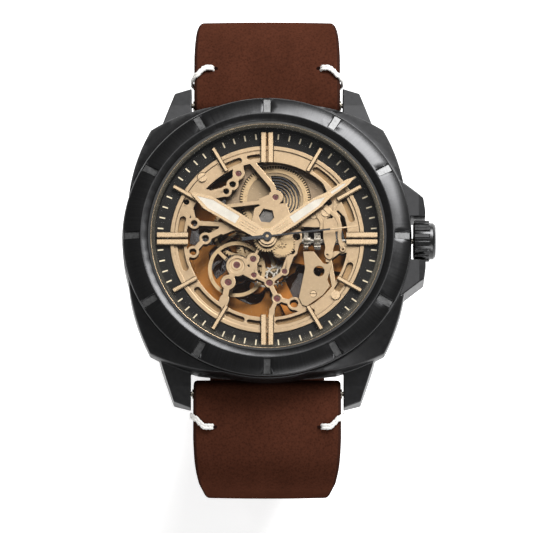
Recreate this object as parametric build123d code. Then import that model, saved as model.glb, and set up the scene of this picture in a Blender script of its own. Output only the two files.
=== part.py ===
from build123d import *
import math
import os

# Automatic skeleton wristwatch. Millimetres, +Z out of the dial, +Y to 12 o'clock, +X to the crown.
# The origin is the centre of the case back's outer face.

# ---------------------------------------------------------------- driving dimensions
# heights above the case back's outer face
Z_DIAL = 8.2
Z_CASE_BOTTOM = 1.6
Z_CASE_TOP = 9.2
Z_CASE_CORNER = 7.2
Z_BEZEL_TOP = 11.0
Z_CRYSTAL = 10.5
CRYSTAL_THICK = 1.4

# case, bezel and lugs
BEZEL_R = 21.5
BEZEL_FLAT_R = 18.8
BEZEL_BORE_R = 17.75
CASE_R = 21.6
CASE_BORE_R = 17.75
CORNER = (17.4, 17.3)
TANGENT = (6.3, 20.66)
LUG_INNER_X = 11.35
LUG_TIP_Y = 24.8
BAR_Y = 22.4
BAR_Z = 2.8
BAR_R = 0.75
CROWN_Z = 7.15
GUARD_X = 23.6
GUARD_GAP = 6.6
BEZEL_SLOTS = 12
SLOT_R_IN = 19.0
SLOT_R_OUT = 21.2
SLOT_WIDTH = 1.05

# dial
RING_R_OUT = 14.5
RING_R_IN = 12.0
CHAPTER_R_OUT = 16.8
TICKS = 60

# strap
STRAP_HALF_WIDTH = 11.0
STRAP_THICK = 2.0
STRAP_END_R = 2.1

# running clearances
FIT = 0.03


# ---------------------------------------------------------------- helpers
def polar(radius, degrees):
    a = math.radians(degrees)
    return (radius * math.cos(a), radius * math.sin(a))


def disc(radius, z0, z1, at=(0, 0)):
    solid = Cylinder(radius, z1 - z0, align=(Align.CENTER, Align.CENTER, Align.MIN))
    return Pos(at[0], at[1], z0) * solid


def ring(r_in, r_out, z0, z1, at=(0, 0)):
    return disc(r_out, z0, z1, at) - disc(r_in, z0 - 1, z1 + 1, at)


def box(x0, x1, y0, y1, z0, z1):
    solid = Box(x1 - x0, y1 - y0, z1 - z0)
    return Pos((x0 + x1) / 2, (y0 + y1) / 2, (z0 + z1) / 2) * solid


def face_of(points):
    return make_face(Polyline(*points, close=True))


def prism(points, z0, z1):
    return extrude(Pos(0, 0, z0) * face_of(points), z1 - z0)


def prism_x(points_yz, x0, x1):
    return extrude(Plane.YZ.offset(x0) * face_of(points_yz), x1 - x0)


def prism_y(points_xz, y0, y1):
    return extrude(Plane.XZ.offset(-y0) * face_of(points_xz), -(y1 - y0))


def rod_x(radius, x0, x1, y, z):
    return Pos((x0 + x1) / 2, y, z) * Rot(0, 90, 0) * Cylinder(radius, x1 - x0)


def turned(points_rz):
    """A solid of revolution about Z, from its half section."""
    section = Plane.XZ * face_of(points_rz)
    return revolve(section, Axis.Z, 360)


def bar_outline(start, end, width):
    """A straight arm with round ends, as a flat face."""
    dx, dy = end[0] - start[0], end[1] - start[1]
    length = math.hypot(dx, dy)
    middle = Pos((start[0] + end[0]) / 2, (start[1] + end[1]) / 2)
    arm = middle * Rot(0, 0, math.degrees(math.atan2(dy, dx))) * Rectangle(length, width)
    return [arm, Pos(*start) * Circle(width / 2), Pos(*end) * Circle(width / 2)]


def arc_slot(radius, width, deg0, deg1):
    """A slot with round ends that follows a circle about the origin, as a flat face."""
    half = width / 2
    p0, p1 = polar(radius - half, deg0), polar(radius - half, deg1)
    p2, p3 = polar(radius + half, deg1), polar(radius + half, deg0)
    mid = (deg0 + deg1) / 2
    end1 = polar(radius, deg1 + math.degrees(half / radius))
    end0 = polar(radius, deg0 - math.degrees(half / radius))
    edges = [
        ThreePointArc(p0, polar(radius - half, mid), p1),
        ThreePointArc(p1, end1, p2),
        ThreePointArc(p2, polar(radius + half, mid), p3),
        ThreePointArc(p3, end0, p0),
    ]
    return make_face(edges)


def gear(teeth, pitch_r, depth, z0, z1, at=(0, 0), phase=0.0, bore=0.0, duty=0.42):
    """A wheel with narrow straight-sided teeth; phase turns the middle of a tooth from +X."""
    step = 360 / teeth
    points = []
    for i in range(teeth):
        a = phase + i * step
        points.append(polar(pitch_r - depth / 2, a - duty * step))
        points.append(polar(pitch_r + depth / 2, a - 0.12 * step))
        points.append(polar(pitch_r + depth / 2, a + 0.12 * step))
        points.append(polar(pitch_r - depth / 2, a + duty * step))
    wheel = Pos(at[0], at[1], 0) * prism(points, z0, z1)
    if bore:
        wheel = wheel - disc(bore, z0 - 1, z1 + 1, at)
    return wheel


def spokes_cut(count, r_in, r_out, width, z0, z1, at=(0, 0), turn=0.0):
    """What is cut from a wheel to leave that many spokes between two radii."""
    web = ring(r_in, r_out, z0, z1)
    for i in range(count):
        spoke = box(0, r_out + 1, -width / 2, width / 2, z0 - 1, z1 + 1)
        arm = Rot(0, 0, turn + i * 360 / count) * spoke
        web = web - arm
    return Pos(at[0], at[1], 0) * web


def write(name, shape):
    export_step(shape, f"parts/{name}.step")


# ---------------------------------------------------------------- case
def cushion_face():
    """The case's plan: a round body whose four corners are drawn out."""
    tx, ty = TANGENT
    cx, cy = CORNER
    r = CASE_R
    bulge_x = (12.6, 19.45)
    bulge_y = (19.75, 11.3)
    points = []
    quarter = [(-tx, ty), (-bulge_x[0], bulge_x[1]), (-cx, cy), (-bulge_y[0], bulge_y[1]), (-ty, tx)]
    mirrored = [(x, -y) for x, y in reversed(quarter)]
    right_low = [(-x, -y) for x, y in quarter]
    right_top = [(-x, -y) for x, y in mirrored]
    for part in (quarter, mirrored, right_low, right_top):
        points.append(part)
    edges = []
    joins = [(-r, 0), (0, -r), (r, 0), (0, r)]
    for i, part in enumerate(points):
        following = points[(i + 1) % 4][0]
        edges.append(ThreePointArc(part[0], part[1], part[2]))
        edges.append(ThreePointArc(part[2], part[3], part[4]))
        edges.append(ThreePointArc(part[4], joins[i], following))
    return make_face(edges)


def lug_pair():
    """The two lugs at 12 o'clock, each leaning outward and down to its tip."""
    plan = [
        (LUG_INNER_X, 14.0),
        (LUG_INNER_X, LUG_TIP_Y),
        (13.9, 23.9),
        (15.75, 18.5),
        (16.9, 14.0),
    ]
    side_top = [(14.0, 8.0), (18.6, 6.1), (21.8, 5.1), (LUG_TIP_Y + 0.1, 3.9)]
    side_low = [(LUG_TIP_Y + 0.1, 2.0), (23.9, 0.9), (21.5, 0.6), (17.5, 1.0), (14.0, Z_CASE_BOTTOM)]
    profile = prism_x(side_top + side_low, LUG_INNER_X - 1, 18)
    lug = prism(plan, 0, 9) & profile
    return lug + lug.mirror(Plane.YZ)


def make_case_body():
    body = extrude(Pos(0, 0, Z_CASE_BOTTOM) * cushion_face(), Z_CASE_TOP - Z_CASE_BOTTOM)
    corner_r = math.hypot(*CORNER)
    slope = (Z_CASE_TOP - Z_CASE_CORNER) / (corner_r - CASE_R)
    top_cone = turned([
        (CASE_R, Z_CASE_TOP),
        (CASE_R + 6, Z_CASE_TOP - 6 * slope),
        (CASE_R + 6, Z_CASE_TOP + 1),
        (CASE_R, Z_CASE_TOP + 1),
    ])
    low_cone = turned([
        (CASE_R - 1.5, Z_CASE_BOTTOM - 0.01),
        (CASE_R + 1.7, 4.8),
        (CASE_R + 6, 4.8),
        (CASE_R + 6, Z_CASE_BOTTOM - 0.01),
    ])
    body = body - top_cone - low_cone
    for sign in (1, -1):
        guard = prism([
            (19.0, sign * 9.4),
            (20.6, sign * 8.4),
            (23.3, sign * 6.3),
            (GUARD_X, sign * 4.4),
            (GUARD_X, sign * GUARD_GAP / 2),
            (19.0, sign * GUARD_GAP / 2),
        ], 4.2, Z_CASE_TOP)
        guard = guard - prism_y([(22.6, Z_CASE_TOP), (GUARD_X + 1, 8.2), (GUARD_X + 1, 10)], -12, 12)
        body = body + guard
    lugs = lug_pair()
    body = body + lugs + lugs.mirror(Plane.XZ)
    strap_room = 20.1
    for sign in (1, -1):
        y0, y1 = sorted((sign * strap_room, sign * 30))
        body = body - box(-LUG_INNER_X, LUG_INNER_X, y0, y1, -1, 5.9)
        pin_end = LUG_INNER_X + 1.2
        body = body - rod_x(BAR_R / 2 + 0.02, -pin_end, pin_end, sign * BAR_Y, BAR_Z)
    body = body - disc(CASE_BORE_R, 0, 12) - disc(19.25, -1, Z_CASE_BOTTOM)
    body = body - ring(CASE_BORE_R - 1, 19.3, 8.6, 10)
    body = body - rod_x(0.95, 15, 25, 0, CROWN_Z)
    crown_seat = rod_x(3.35, 21.25, 26, 0, CROWN_Z)
    return body - crown_seat


def make_bezel():
    bezel = turned([
        (BEZEL_BORE_R, 8.62),
        (BEZEL_BORE_R, 10.65),
        (BEZEL_FLAT_R, Z_BEZEL_TOP),
        (BEZEL_R - 0.25, 10.25),
        (BEZEL_R, 10.0),
        (BEZEL_R, 9.45),
        (BEZEL_R - 0.25, Z_CASE_TOP),
        (19.28, Z_CASE_TOP),
        (19.28, 8.62),
    ])
    for i in range(BEZEL_SLOTS):
        bezel = bezel - Rot(0, 0, i * 30) * slot_pocket(SLOT_WIDTH, 0.0)
    return bezel


def slot_pocket(width, shrink):
    """The pocket at 3 o'clock; its floor follows the slope of the bezel's face."""
    slope = (Z_BEZEL_TOP - 10.25) / (BEZEL_R - 0.25 - BEZEL_FLAT_R)
    deep = 0.4
    z_in = Z_BEZEL_TOP - slope * (SLOT_R_IN - BEZEL_FLAT_R) - deep
    z_out = Z_BEZEL_TOP - slope * (SLOT_R_OUT - BEZEL_FLAT_R) - deep
    outline = [
        (SLOT_R_IN + shrink, z_in),
        (SLOT_R_OUT - shrink, z_out),
        (SLOT_R_OUT - shrink, z_out + 2),
        (SLOT_R_IN + shrink, z_in + 2),
    ]
    return prism_y(outline, -width / 2 + shrink, width / 2 - shrink)


def make_slot_inlays():
    floor = slot_pocket(SLOT_WIDTH, 0.02)
    cap = Pos(0, 0, 0.14) * slot_pocket(SLOT_WIDTH + 1, -0.5)
    inlay = Pos(0, 0, 0.02) * (floor - cap)
    return [Rot(0, 0, i * 30) * inlay for i in range(BEZEL_SLOTS)]


def make_crystal():
    top = Z_CRYSTAL + CRYSTAL_THICK
    return turned([
        (0, Z_CRYSTAL),
        (17.35, Z_CRYSTAL),
        (17.35, top - 0.65),
        (16.75, top),
        (0, top),
    ])


def make_case_back():
    back = turned([
        (13.9, 0),
        (18.4, 0),
        (19.2, 0.7),
        (19.2, Z_CASE_BOTTOM),
        (CASE_BORE_R - 0.02, Z_CASE_BOTTOM),
        (CASE_BORE_R - 0.02, 3.0),
        (16.6, 3.0),
        (16.6, 1.3),
        (13.9, 1.3),
    ])
    for i in range(6):
        notch = box(17.9, 20, -1.2, 1.2, -1, 0.8)
        back = back - Rot(0, 0, 30 + i * 60) * notch
    return back


# ---------------------------------------------------------------- dial and main plate
# bosses of the skeleton work: (x, y, outer radius, hole radius)
BOSSES = {
    "a": (-4.29, 10.22, 0.95, 0.42),
    "b": (-5.17, 8.55, 0.95, 0.45),
    "c": (-6.14, 7.47, 0.90, 0.42),
    "d": (-9.69, 9.55, 1.05, 0.40),
    "e": (-12.05, 5.80, 0.85, 0.40),
    "f": (-10.89, 2.52, 0.90, 0.45),
    "g": (-9.21, 0.17, 0.95, 0.50),
    "h": (-11.06, -1.92, 0.95, 0.50),
    "i": (-4.84, 2.27, 0.80, 0.32),
    "j": (-4.53, -4.10, 1.62, 1.15),
    "k": (-2.10, -3.01, 0.98, 0.45),
    "l": (-5.81, -6.60, 1.15, 0.50),
    "m": (-2.00, -5.50, 0.65, 0.38),
    "n": (2.58, -4.93, 0.70, 0.38),
    "o": (0.33, -6.71, 0.80, 0.48),
    "p": (1.46, -9.12, 0.82, 0.48),
    "q": (3.98, -9.89, 1.02, 0.60),
    "r": (1.67, -2.04, 0.80, 0.42),
    "s": (3.71, -1.86, 0.85, 0.40),
    "t": (4.37, 0.43, 1.15, 0.55),
    "v": (1.25, 6.55, 1.15, 0.42),
    "w": (11.19, -1.31, 0.90, 0.35),
    "x": (10.16, -8.66, 0.95, 0.40),
    "y": (8.72, 4.13, 0.90, 0.35),
    "z": (6.88, 3.79, 0.80, 0.35),
}
# arms between bosses or plain points, with their widths
ARMS = [
    ("a", "b", 1.2),
    ("b", "c", 1.2),
    ("a", (-4.4, 12.3), 1.7),
    ("c", (-8.3, 6.9), 1.5),
    ((-8.3, 6.9), (-10.6, 7.6), 1.3),
    ("d", (-10.9, 10.4), 1.6),
    ((-2.74, 12.60), (0.80, 8.25), 0.85),
    ((0.80, 8.25), "v", 0.85),
    ((-5.9, 5.15), (-0.65, 5.85), 0.65),
    ((-0.65, 5.85), "v", 1.5),
    ("e", (-12.6, 6.4), 1.2),
    ("f", (-12.4, 2.9), 1.3),
    ("f", "i", 0.75),
    ("g", (-6.6, 1.50), 1.0),
    ((-6.6, 1.50), "i", 1.5),
    ("g", "h", 0.85),
    ("h", (-12.6, -2.6), 1.3),
    ("e", (-11.2, 4.4), 0.7),
    ((-11.2, 4.4), "f", 0.7),
    ("i", (-1.6, 1.5), 1.5),
    ((-1.6, 1.5), (0.0, 0.0), 2.0),
    ("j", "k", 1.1),
    ("j", "l", 1.0),
    ("j", "m", 1.5),
    ("k", "m", 1.2),
    ("k", (-1.3, -1.5), 0.5),
    ("m", "o", 0.65),
    ("o", "n", 0.65),
    ("n", "s", 1.1),
    ("r", "s", 1.5),
    ("o", "p", 0.75),
    ("p", "q", 0.75),
    ("p", (0.7, -10.9), 0.7),
    ((0.7, -10.9), (0.6, -12.6), 0.9),
    ("l", (-6.35, -9.2), 0.95),
    ((-6.35, -9.2), (-7.0, -11.0), 1.5),
    ("q", (6.2, -11.2), 1.6),
    ("s", "t", 1.6),
    ("t", (1.2, 0.6), 1.6),
    ("x", (10.9, -9.3), 1.6),
    ("w", (12.8, -1.5), 1.4),
    ("w", (9.2, -2.9), 0.8),
    ((9.2, -2.9), "x", 0.75),
    ("y", (11.9, 6.2), 1.4),
    ("z", "y", 1.1),
    ((7.4, 12.0), (10.2, 5.6), 1.0),
    ((10.2, 5.6), (11.6, 4.0), 0.9),
]
# long openings round the dial ring: (start degrees, end degrees, radius, width)
RING_SLOTS = [
    (166, 200, 12.95, 0.85),
    (109, 119, 12.95, 0.8),
    (96, 102, 13.0, 0.6),
    (40, 56, 13.0, 0.9),
    (217, 236, 13.0, 0.9),
    (243, 253, 12.9, 0.75),
    (258, 266, 12.95, 0.6),
    (277, 301, 12.9, 0.75),
    (324, 342, 12.95, 0.9),
    (14, 30, 12.95, 0.9),
]
JEWELS = ["a", "i", "j", "k", "l", "m", "n", "o", "p", "v"]
DIAL_SCREWS = ["d", "x", "y", "z"]

# where the movement's wheels stand, and the heights of its plates
CENTRE = (0.0, 0.0)
BARREL_AT = (1.2, 6.7)
THIRD_AT = polar(4.7, 150)
ESCAPE_AT = polar(4.95, -75)
PAD_OUTLINE = [
    (-1.9, 4.9), (-0.4, 5.6), (2.9, 5.6), (3.5, 3.6), (3.0, 1.3), (1.2, -0.9), (-1.2, -0.9), (-2.6, 1.6),
]
PAD_WINDOW = [(-1.25, 3.6), (-0.55, 4.75), (0.75, 4.45), (1.0, 3.4), (0.35, 2.65), (-0.9, 2.75)]
BALANCE_AT = (-4.53, -3.9)
PALLET_AT = (-1.55, -6.15)
MINUTE_WHEEL_AT = polar(2.4, -20)
CROWN_WHEEL_AT = (6.1, 5.7)
PLATE_LOW = Z_DIAL - 1.8
BRIDGE_Z = 3.3
BRIDGE_TOP = 3.95
PILLAR_ANGLES = (150, 185, 292, 330, 20)


def spot(name_or_point):
    if isinstance(name_or_point, str):
        return BOSSES[name_or_point][:2]
    return name_or_point


def centre_pad():
    """The pad round the hands' arbor, with the many-sided window above it."""
    pad = face_of(PAD_OUTLINE)
    window = face_of(PAD_WINDOW)
    return pad, window


def skeleton_outline(widen, with_ring):
    """The arms, bosses and centre pad in plan; widen makes every arm that much wider."""
    faces = []
    for start, end, width in ARMS:
        faces += bar_outline(spot(start), spot(end), width + widen)
    for x, y, r_out, _ in BOSSES.values():
        faces.append(Pos(x, y) * Circle(r_out + widen / 2))
    pad, window = centre_pad()
    faces.append(pad)
    if with_ring:
        faces.append(Circle(RING_R_OUT) - Circle(RING_R_IN))
    plan = Sketch() + faces
    return plan - window


def make_dial_plate():
    bottom = Z_DIAL - 0.7
    plan = skeleton_outline(0.0, True)
    plan = plan - [Pos(x, y) * Circle(hole) for x, y, _, hole in BOSSES.values()]
    plan = plan - [arc_slot(r, w, a0, a1) for a0, a1, r, w in RING_SLOTS]
    plan = plan + bar_outline((1.5, -0.5), MINUTE_WHEEL_AT, 0.9)
    plan = (plan - Circle(1.05)) & Circle(RING_R_OUT)
    plate = extrude(Pos(0, 0, bottom) * plan, Z_DIAL - bottom)
    plate = plate + disc(STUD_R, Z_DIAL - 0.01, Z_DIAL + 0.5, MINUTE_WHEEL_AT)
    rim = ring(13.85, RING_R_OUT, Z_DIAL - 0.01, Z_DIAL + 0.22)
    plate = plate + rim
    for name in DIAL_SCREWS:
        plate = plate - disc(0.75, Z_DIAL, Z_DIAL + 1, spot(name))
    keyless_room = box(5.2, 8.25, -1.75, 1.75, bottom - 1, Z_DIAL + 1)
    stem_room = rod_x(0.7, 8, 16, 0, CROWN_Z)
    return plate - keyless_room - stem_room - lever_room()


def lever_room():
    """The slot that the setting lever's post travels in."""
    return box(8.75, 10.75, -1.8, 0.2, 5, Z_DIAL + 1)


def make_main_plate():
    top = Z_DIAL - 0.75
    bottom = PLATE_LOW
    plan = skeleton_outline(-0.3, False)
    plan = plan + (Circle(15.2) - Circle(12.2))
    plan = plan - [Pos(x, y) * Circle(hole + 0.02) for x, y, _, hole in BOSSES.values()]
    plan = (plan - Circle(0.75)) & Circle(15.2)
    plate = extrude(Pos(0, 0, bottom) * plan, top - bottom)
    for at in (THIRD_AT, ESCAPE_AT, BALANCE_AT, PALLET_AT):
        plate = plate - disc(0.16, bottom - 1, top + 1, at)
    for degrees in PILLAR_ANGLES:
        plate = plate + disc(0.7, BRIDGE_TOP, bottom + 0.1, polar(13.6, degrees))
    plate = plate - box(5.2, 9.6, -1.75, 1.75, bottom - 1, top + 1)
    plate = plate - rod_x(0.7, 8, 16, 0, CROWN_Z) - box(9.0, 16, -0.7, 0.7, CROWN_Z, top + 1)
    return plate - lever_room()


def make_chapter_ring():
    return ring(RING_R_OUT + 0.05, CHAPTER_R_OUT, Z_DIAL - 0.6, Z_DIAL + 0.05)


def make_ticks():
    ticks = []
    for i in range(TICKS):
        if i % 5:
            tick = box(15.55, 16.4, -0.1, 0.1, Z_DIAL + 0.05, Z_DIAL + 0.1)
            ticks.append(Rot(0, 0, 6 * i) * tick)
    return ticks


def marker_bar(r_in, r_out, width, offset):
    z0, z1 = Z_DIAL + 0.23, Z_DIAL + 0.73
    half = width / 2
    flat = half - 0.14
    edge = z1 - 0.14
    section = [(-half, z0), (half, z0), (half, edge), (flat, z1), (-flat, z1), (-half, edge)]
    bar = Pos(0, offset, 0) * prism_x(section, r_in, r_out)
    foot = disc(0.25, Z_DIAL + 0.05, z0 + 0.1, (15.2, offset))
    return bar + foot


def make_markers():
    bars = []
    for hour in range(12):
        turn = Rot(0, 0, 30 * hour)
        if hour % 3:
            bars.append(turn * marker_bar(12.1, 16.1, 0.68, 0.0))
        else:
            bars.append(turn * marker_bar(11.8, 16.4, 0.92, 0.54))
            bars.append(turn * marker_bar(11.8, 16.4, 0.92, -0.54))
    return bars


def make_flange():
    """The black inner flange between the chapter ring and the crystal, finely knurled."""
    z0, z1 = Z_DIAL - 0.6, Z_CRYSTAL - 0.02
    r_in = CHAPTER_R_OUT + 0.02
    flange = turned([(r_in, z0), (r_in, Z_DIAL + 0.1), (17.2, z1), (17.7, z1), (17.7, z0)])
    count = 120
    groove_r = 0.1
    grooves = []
    for i in range(count):
        x, y = polar(16.98, i * 360 / count)
        grooves.append(Pos(x, y, 0) * disc(groove_r, 8.9, 9.7))
    return flange - grooves


def make_gasket():
    return ring(17.37, 17.73, Z_CRYSTAL - 0.02, Z_BEZEL_TOP - 0.4)


def make_holder():
    holder = ring(15.25, 17.7, 3.03, Z_DIAL - 0.62)
    return holder - box(14, 19, -1.1, 1.1, CROWN_Z - 1.1, 9)


# ---------------------------------------------------------------- screws, jewels, levers
def slotted_screw(x, y, z_top, head_r, shank_r, depth, turn):
    head = disc(head_r, z_top - 0.35, z_top, (x, y))
    shank = disc(shank_r, z_top - depth, z_top - 0.3, (x, y))
    slot = Pos(x, y, 0) * Rot(0, 0, turn) * box(-2, 2, -0.09, 0.09, z_top - 0.17, z_top + 1)
    return head + shank - slot


def make_dial_screws():
    screws = []
    for i, name in enumerate(DIAL_SCREWS):
        x, y, _, hole = BOSSES[name]
        screws.append(slotted_screw(x, y, Z_DIAL + 0.35, 0.68, hole - FIT, 1.4, 35 + 50 * i))
    return screws


def make_jewels():
    jewels = []
    for name in JEWELS:
        x, y, _, hole = BOSSES[name]
        z0, z1 = Z_DIAL - 0.45, Z_DIAL - 0.12
        stone = disc(hole - 0.01, z0, z1, (x, y)) - disc(hole * 0.3, z1 - 0.12, z1 + 1, (x, y))
        jewels.append(stone)
    return jewels


COVER_PLATE = [
    (5.33, -1.95), (6.94, -1.95), (8.40, -3.83), (9.6, -3.97), (8.93, -6.32), (9.33, -7.28),
    (8.27, -8.67), (5.87, -10.4), (5.20, -10.2), (4.68, -9.09), (5.60, -4.53),
]
SETTING_PLATE = [
    (5.0, 1.9), (6.1, 4.2), (6.7, 4.9), (7.9, 4.9), (8.9, 5.3), (9.6, 4.5), (8.9, 3.0), (8.4, 1.8), (6.9, 1.8),
]
YOKE = [
    (9.9, 6.0), (10.5, 5.4), (10.2, 4.4), (10.9, 3.6), (10.9, 1.2), (9.75, 1.1), (9.75, 3.4),
]


def make_cover_plate():
    z0, z1 = Z_DIAL + 0.02, Z_DIAL + 0.3
    plate = prism(COVER_PLATE, z0, z1)
    for x, y, r in ((7.7, -4.99, 0.8), (6.85, -8.49, 0.5)):
        plate = plate - disc(r, z0 - 1, z1 + 1, (x, y))
    return plate


def make_setting_plate():
    z0, z1 = Z_DIAL + 0.02, Z_DIAL + 0.25
    plate = prism(SETTING_PLATE, z0, z1)
    for name in ("y", "z"):
        x, y, _, _ = BOSSES[name]
        plate = plate - disc(0.72, z0 - 1, z1 + 1, (x, y))
    return plate


def make_yoke():
    return prism(YOKE, Z_DIAL + 0.02, Z_DIAL + 0.25)


def make_cover_screw():
    return slotted_screw(6.85, -8.49, Z_DIAL + 0.25, 0.46, 0.25, 0.9, 0)


# ---------------------------------------------------------------- going train
DEPTH = 0.26
STUD_R = 0.15


def gap_phase(teeth, toward):
    """The phase that puts a gap on the line of centres."""
    return toward + 180 / teeth


def arbor(radius, z0, z1, at):
    return disc(radius, z0, z1, at)


def make_fourth_wheel():
    """Turns once a minute; its long arbor carries the seconds hand."""
    wheel = gear(72, 4.5, DEPTH, 4.2, 4.35, phase=-75)
    wheel = wheel - spokes_cut(5, 0.8, 4.0, 0.4, 4.1, 4.5)
    pinion = gear(8, 0.62, DEPTH, 4.34, 4.8, phase=gap_phase(8, 150))
    return wheel + pinion + arbor(0.17, 3.5, 10.12, CENTRE)


def make_third_wheel():
    wheel = gear(60, 4.08, DEPTH, 4.52, 4.67, THIRD_AT, -30)
    wheel = wheel - spokes_cut(5, 0.7, 3.6, 0.4, 4.4, 4.8, THIRD_AT)
    pinion = gear(8, 0.56, DEPTH, 4.66, 5.1, THIRD_AT, gap_phase(8, -30))
    return wheel + pinion + arbor(0.12, 3.5, PLATE_LOW + 0.6, THIRD_AT)


def make_centre_wheel():
    """Turns once an hour; hollow, with the fourth wheel's arbor running through it."""
    wheel = gear(64, 4.14, DEPTH, 4.9, 5.05, phase=150)
    wheel = wheel - spokes_cut(5, 0.9, 3.6, 0.45, 4.8, 5.2)
    toward_barrel = math.degrees(math.atan2(BARREL_AT[1], BARREL_AT[0]))
    pinion = gear(12, 0.92, DEPTH, 5.62, 6.1, phase=gap_phase(12, toward_barrel))
    hub = disc(0.42, 4.85, 8.0)
    return wheel + pinion + hub - disc(0.17 + FIT, 4, 9)


def make_cannon_pinion():
    tube = disc(0.45, 8.0, 8.5) + disc(0.6, 8.46, 9.72)
    leaves = gear(10, 0.6, DEPTH, 8.24, 8.46, phase=gap_phase(10, -20))
    return tube + leaves - disc(0.17 + FIT, 7, 11)


def make_minute_wheel():
    wheel = gear(30, 1.78, DEPTH, 8.27, 8.43, MINUTE_WHEEL_AT, 160)
    pinion = gear(8, 0.5, DEPTH, 8.42, 8.7, MINUTE_WHEEL_AT, gap_phase(8, 160))
    return wheel + pinion - disc(STUD_R + FIT, 8, 9, MINUTE_WHEEL_AT)


def make_hour_wheel():
    wheel = gear(32, 1.95, DEPTH, 8.5, 8.66, phase=-20)
    pipe = disc(0.95, 8.5, 9.34)
    return wheel + pipe - disc(0.72 + FIT, 8, 10)


def make_escape_wheel():
    """Fifteen hooked teeth."""
    points = []
    for i in range(15):
        a = i * 24 + 6
        points.append(polar(1.45, a))
        points.append(polar(1.85, a + 9))
        points.append(polar(1.85, a + 11))
        points.append(polar(1.4, a + 13))
    wheel = Pos(*ESCAPE_AT, 0) * prism(points, 5.14, 5.3)
    wheel = wheel - spokes_cut(5, 0.45, 1.2, 0.22, 5.0, 5.4, ESCAPE_AT)
    pinion = gear(6, 0.42, 0.2, 4.08, 4.5, ESCAPE_AT, gap_phase(6, 105))
    return wheel + pinion + arbor(0.1, 3.5, PLATE_LOW + 0.4, ESCAPE_AT)


def make_pallet_fork():
    """The lever that rocks between the escape wheel and the balance roller."""
    ex, ey = ESCAPE_AT
    px, py = PALLET_AT
    toward = math.atan2(ey - py, ex - px)
    reach = math.hypot(ex - px, ey - py) - 2.0
    tips = []
    for side in (1, -1):
        a = toward + side * 0.75
        tips.append((px + reach * math.cos(a), py + reach * math.sin(a)))
    bx, by = BALANCE_AT
    span = math.hypot(bx - px, by - py)
    share = (span - 1.0) / span
    fork_end = (px + (bx - px) * share, py + (by - py) * share)
    faces = [Pos(px, py) * Circle(0.35)]
    faces += bar_outline((px, py), tips[0], 0.3)
    faces += bar_outline((px, py), tips[1], 0.3)
    faces += bar_outline((px, py), fork_end, 0.22)
    plan = Sketch() + faces
    lever = extrude(Pos(0, 0, 5.14) * plan, 0.14)
    return lever + arbor(0.1, 3.5, 5.34, PALLET_AT)


def make_balance_wheel():
    z0, z1 = 5.4, 5.66
    rim = ring(3.75, 4.3, z0, z1, BALANCE_AT)
    hub = disc(0.5, z0, z1, BALANCE_AT)
    wheel = rim + hub
    for i in range(3):
        arm = Rot(0, 0, 15 + 120 * i) * box(0.3, 4.0, -0.25, 0.25, z0, z1)
        wheel = wheel + Pos(*BALANCE_AT, 0) * arm
    for i in range(8):
        x, y = polar(4.02, 22.5 + i * 45)
        wheel = wheel + disc(0.16, z1, z1 + 0.1, (BALANCE_AT[0] + x, BALANCE_AT[1] + y))
    roller = disc(0.7, 5.14, 5.3, BALANCE_AT)
    return wheel + roller + arbor(0.12, 3.5, PLATE_LOW + 0.7, BALANCE_AT)


def spiral_band(r0, r1, turns, thick, z0, z1, at):
    """A flat spiral spring of even pitch, as one closed ribbon."""
    steps = int(turns * 24)
    inner, outer = [], []
    for i in range(steps + 1):
        t = i / steps
        a = 360 * turns * t
        r = r0 + (r1 - r0) * t
        inner.append(polar(r - thick / 2, a))
        outer.append(polar(r + thick / 2, a))
    return Pos(at[0], at[1], 0) * prism(inner + outer[::-1], z0, z1)


def make_hairspring():
    coils = spiral_band(0.7, 2.4, 7, 0.07, 5.72, 5.92, BALANCE_AT)
    collet = ring(0.125, 0.5, 5.67, 5.92, BALANCE_AT)
    inner_end = box(0.4, 0.75, -0.08, 0.08, 5.72, 5.92)
    return coils + collet + Pos(*BALANCE_AT, 0) * inner_end


def make_barrel():
    toward_centre = math.degrees(math.atan2(-BARREL_AT[1], -BARREL_AT[0]))
    toothed = gear(80, 5.95, DEPTH, 5.78, 5.98, BARREL_AT, toward_centre)
    drum = disc(5.2, 5.2, 6.2, BARREL_AT) - disc(4.75, 5.4, 7, BARREL_AT)
    drum = drum + (toothed - disc(5.0, 5, 7, BARREL_AT))
    return drum - disc(0.5 + FIT, 5, 7, BARREL_AT)


def make_barrel_cover():
    """The thin lid over the mainspring, with a sector window on its right."""
    lid = disc(4.7, 6.04, 6.18, BARREL_AT) - disc(0.5 + FIT, 5, 7, BARREL_AT)
    cut = [polar(1.0, -68)]
    cut += [polar(3.75, a) for a in range(-70, 101, 10)]
    cut += [polar(1.0, 85)]
    return lid - Pos(*BARREL_AT, 0) * prism(cut, 5.9, 6.4)


def make_mainspring():
    x, y = BARREL_AT
    coils = spiral_band(1.2, 4.45, 7, 0.16, 5.45, 5.98, BARREL_AT)
    hook = Pos(x, y, 0) * box(0.9, 1.25, -0.2, 0.2, 5.45, 5.98)
    core = ring(0.75, 1.1, 5.45, 5.98, BARREL_AT)
    return coils + hook + core


def make_barrel_arbor():
    """The arbor that the ratchet wheel winds; the barrel turns round it."""
    shaft = disc(0.5, BRIDGE_TOP + 0.1, 6.35, BARREL_AT)
    square = Pos(*BARREL_AT, 0) * Box(0.8, 0.8, 1.0, align=(Align.CENTER, Align.CENTER, Align.MIN))
    return shaft + Pos(0, 0, BRIDGE_TOP + 0.1 - 1.0) * square


RATCHET_Z = (4.7, 4.86)


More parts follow.
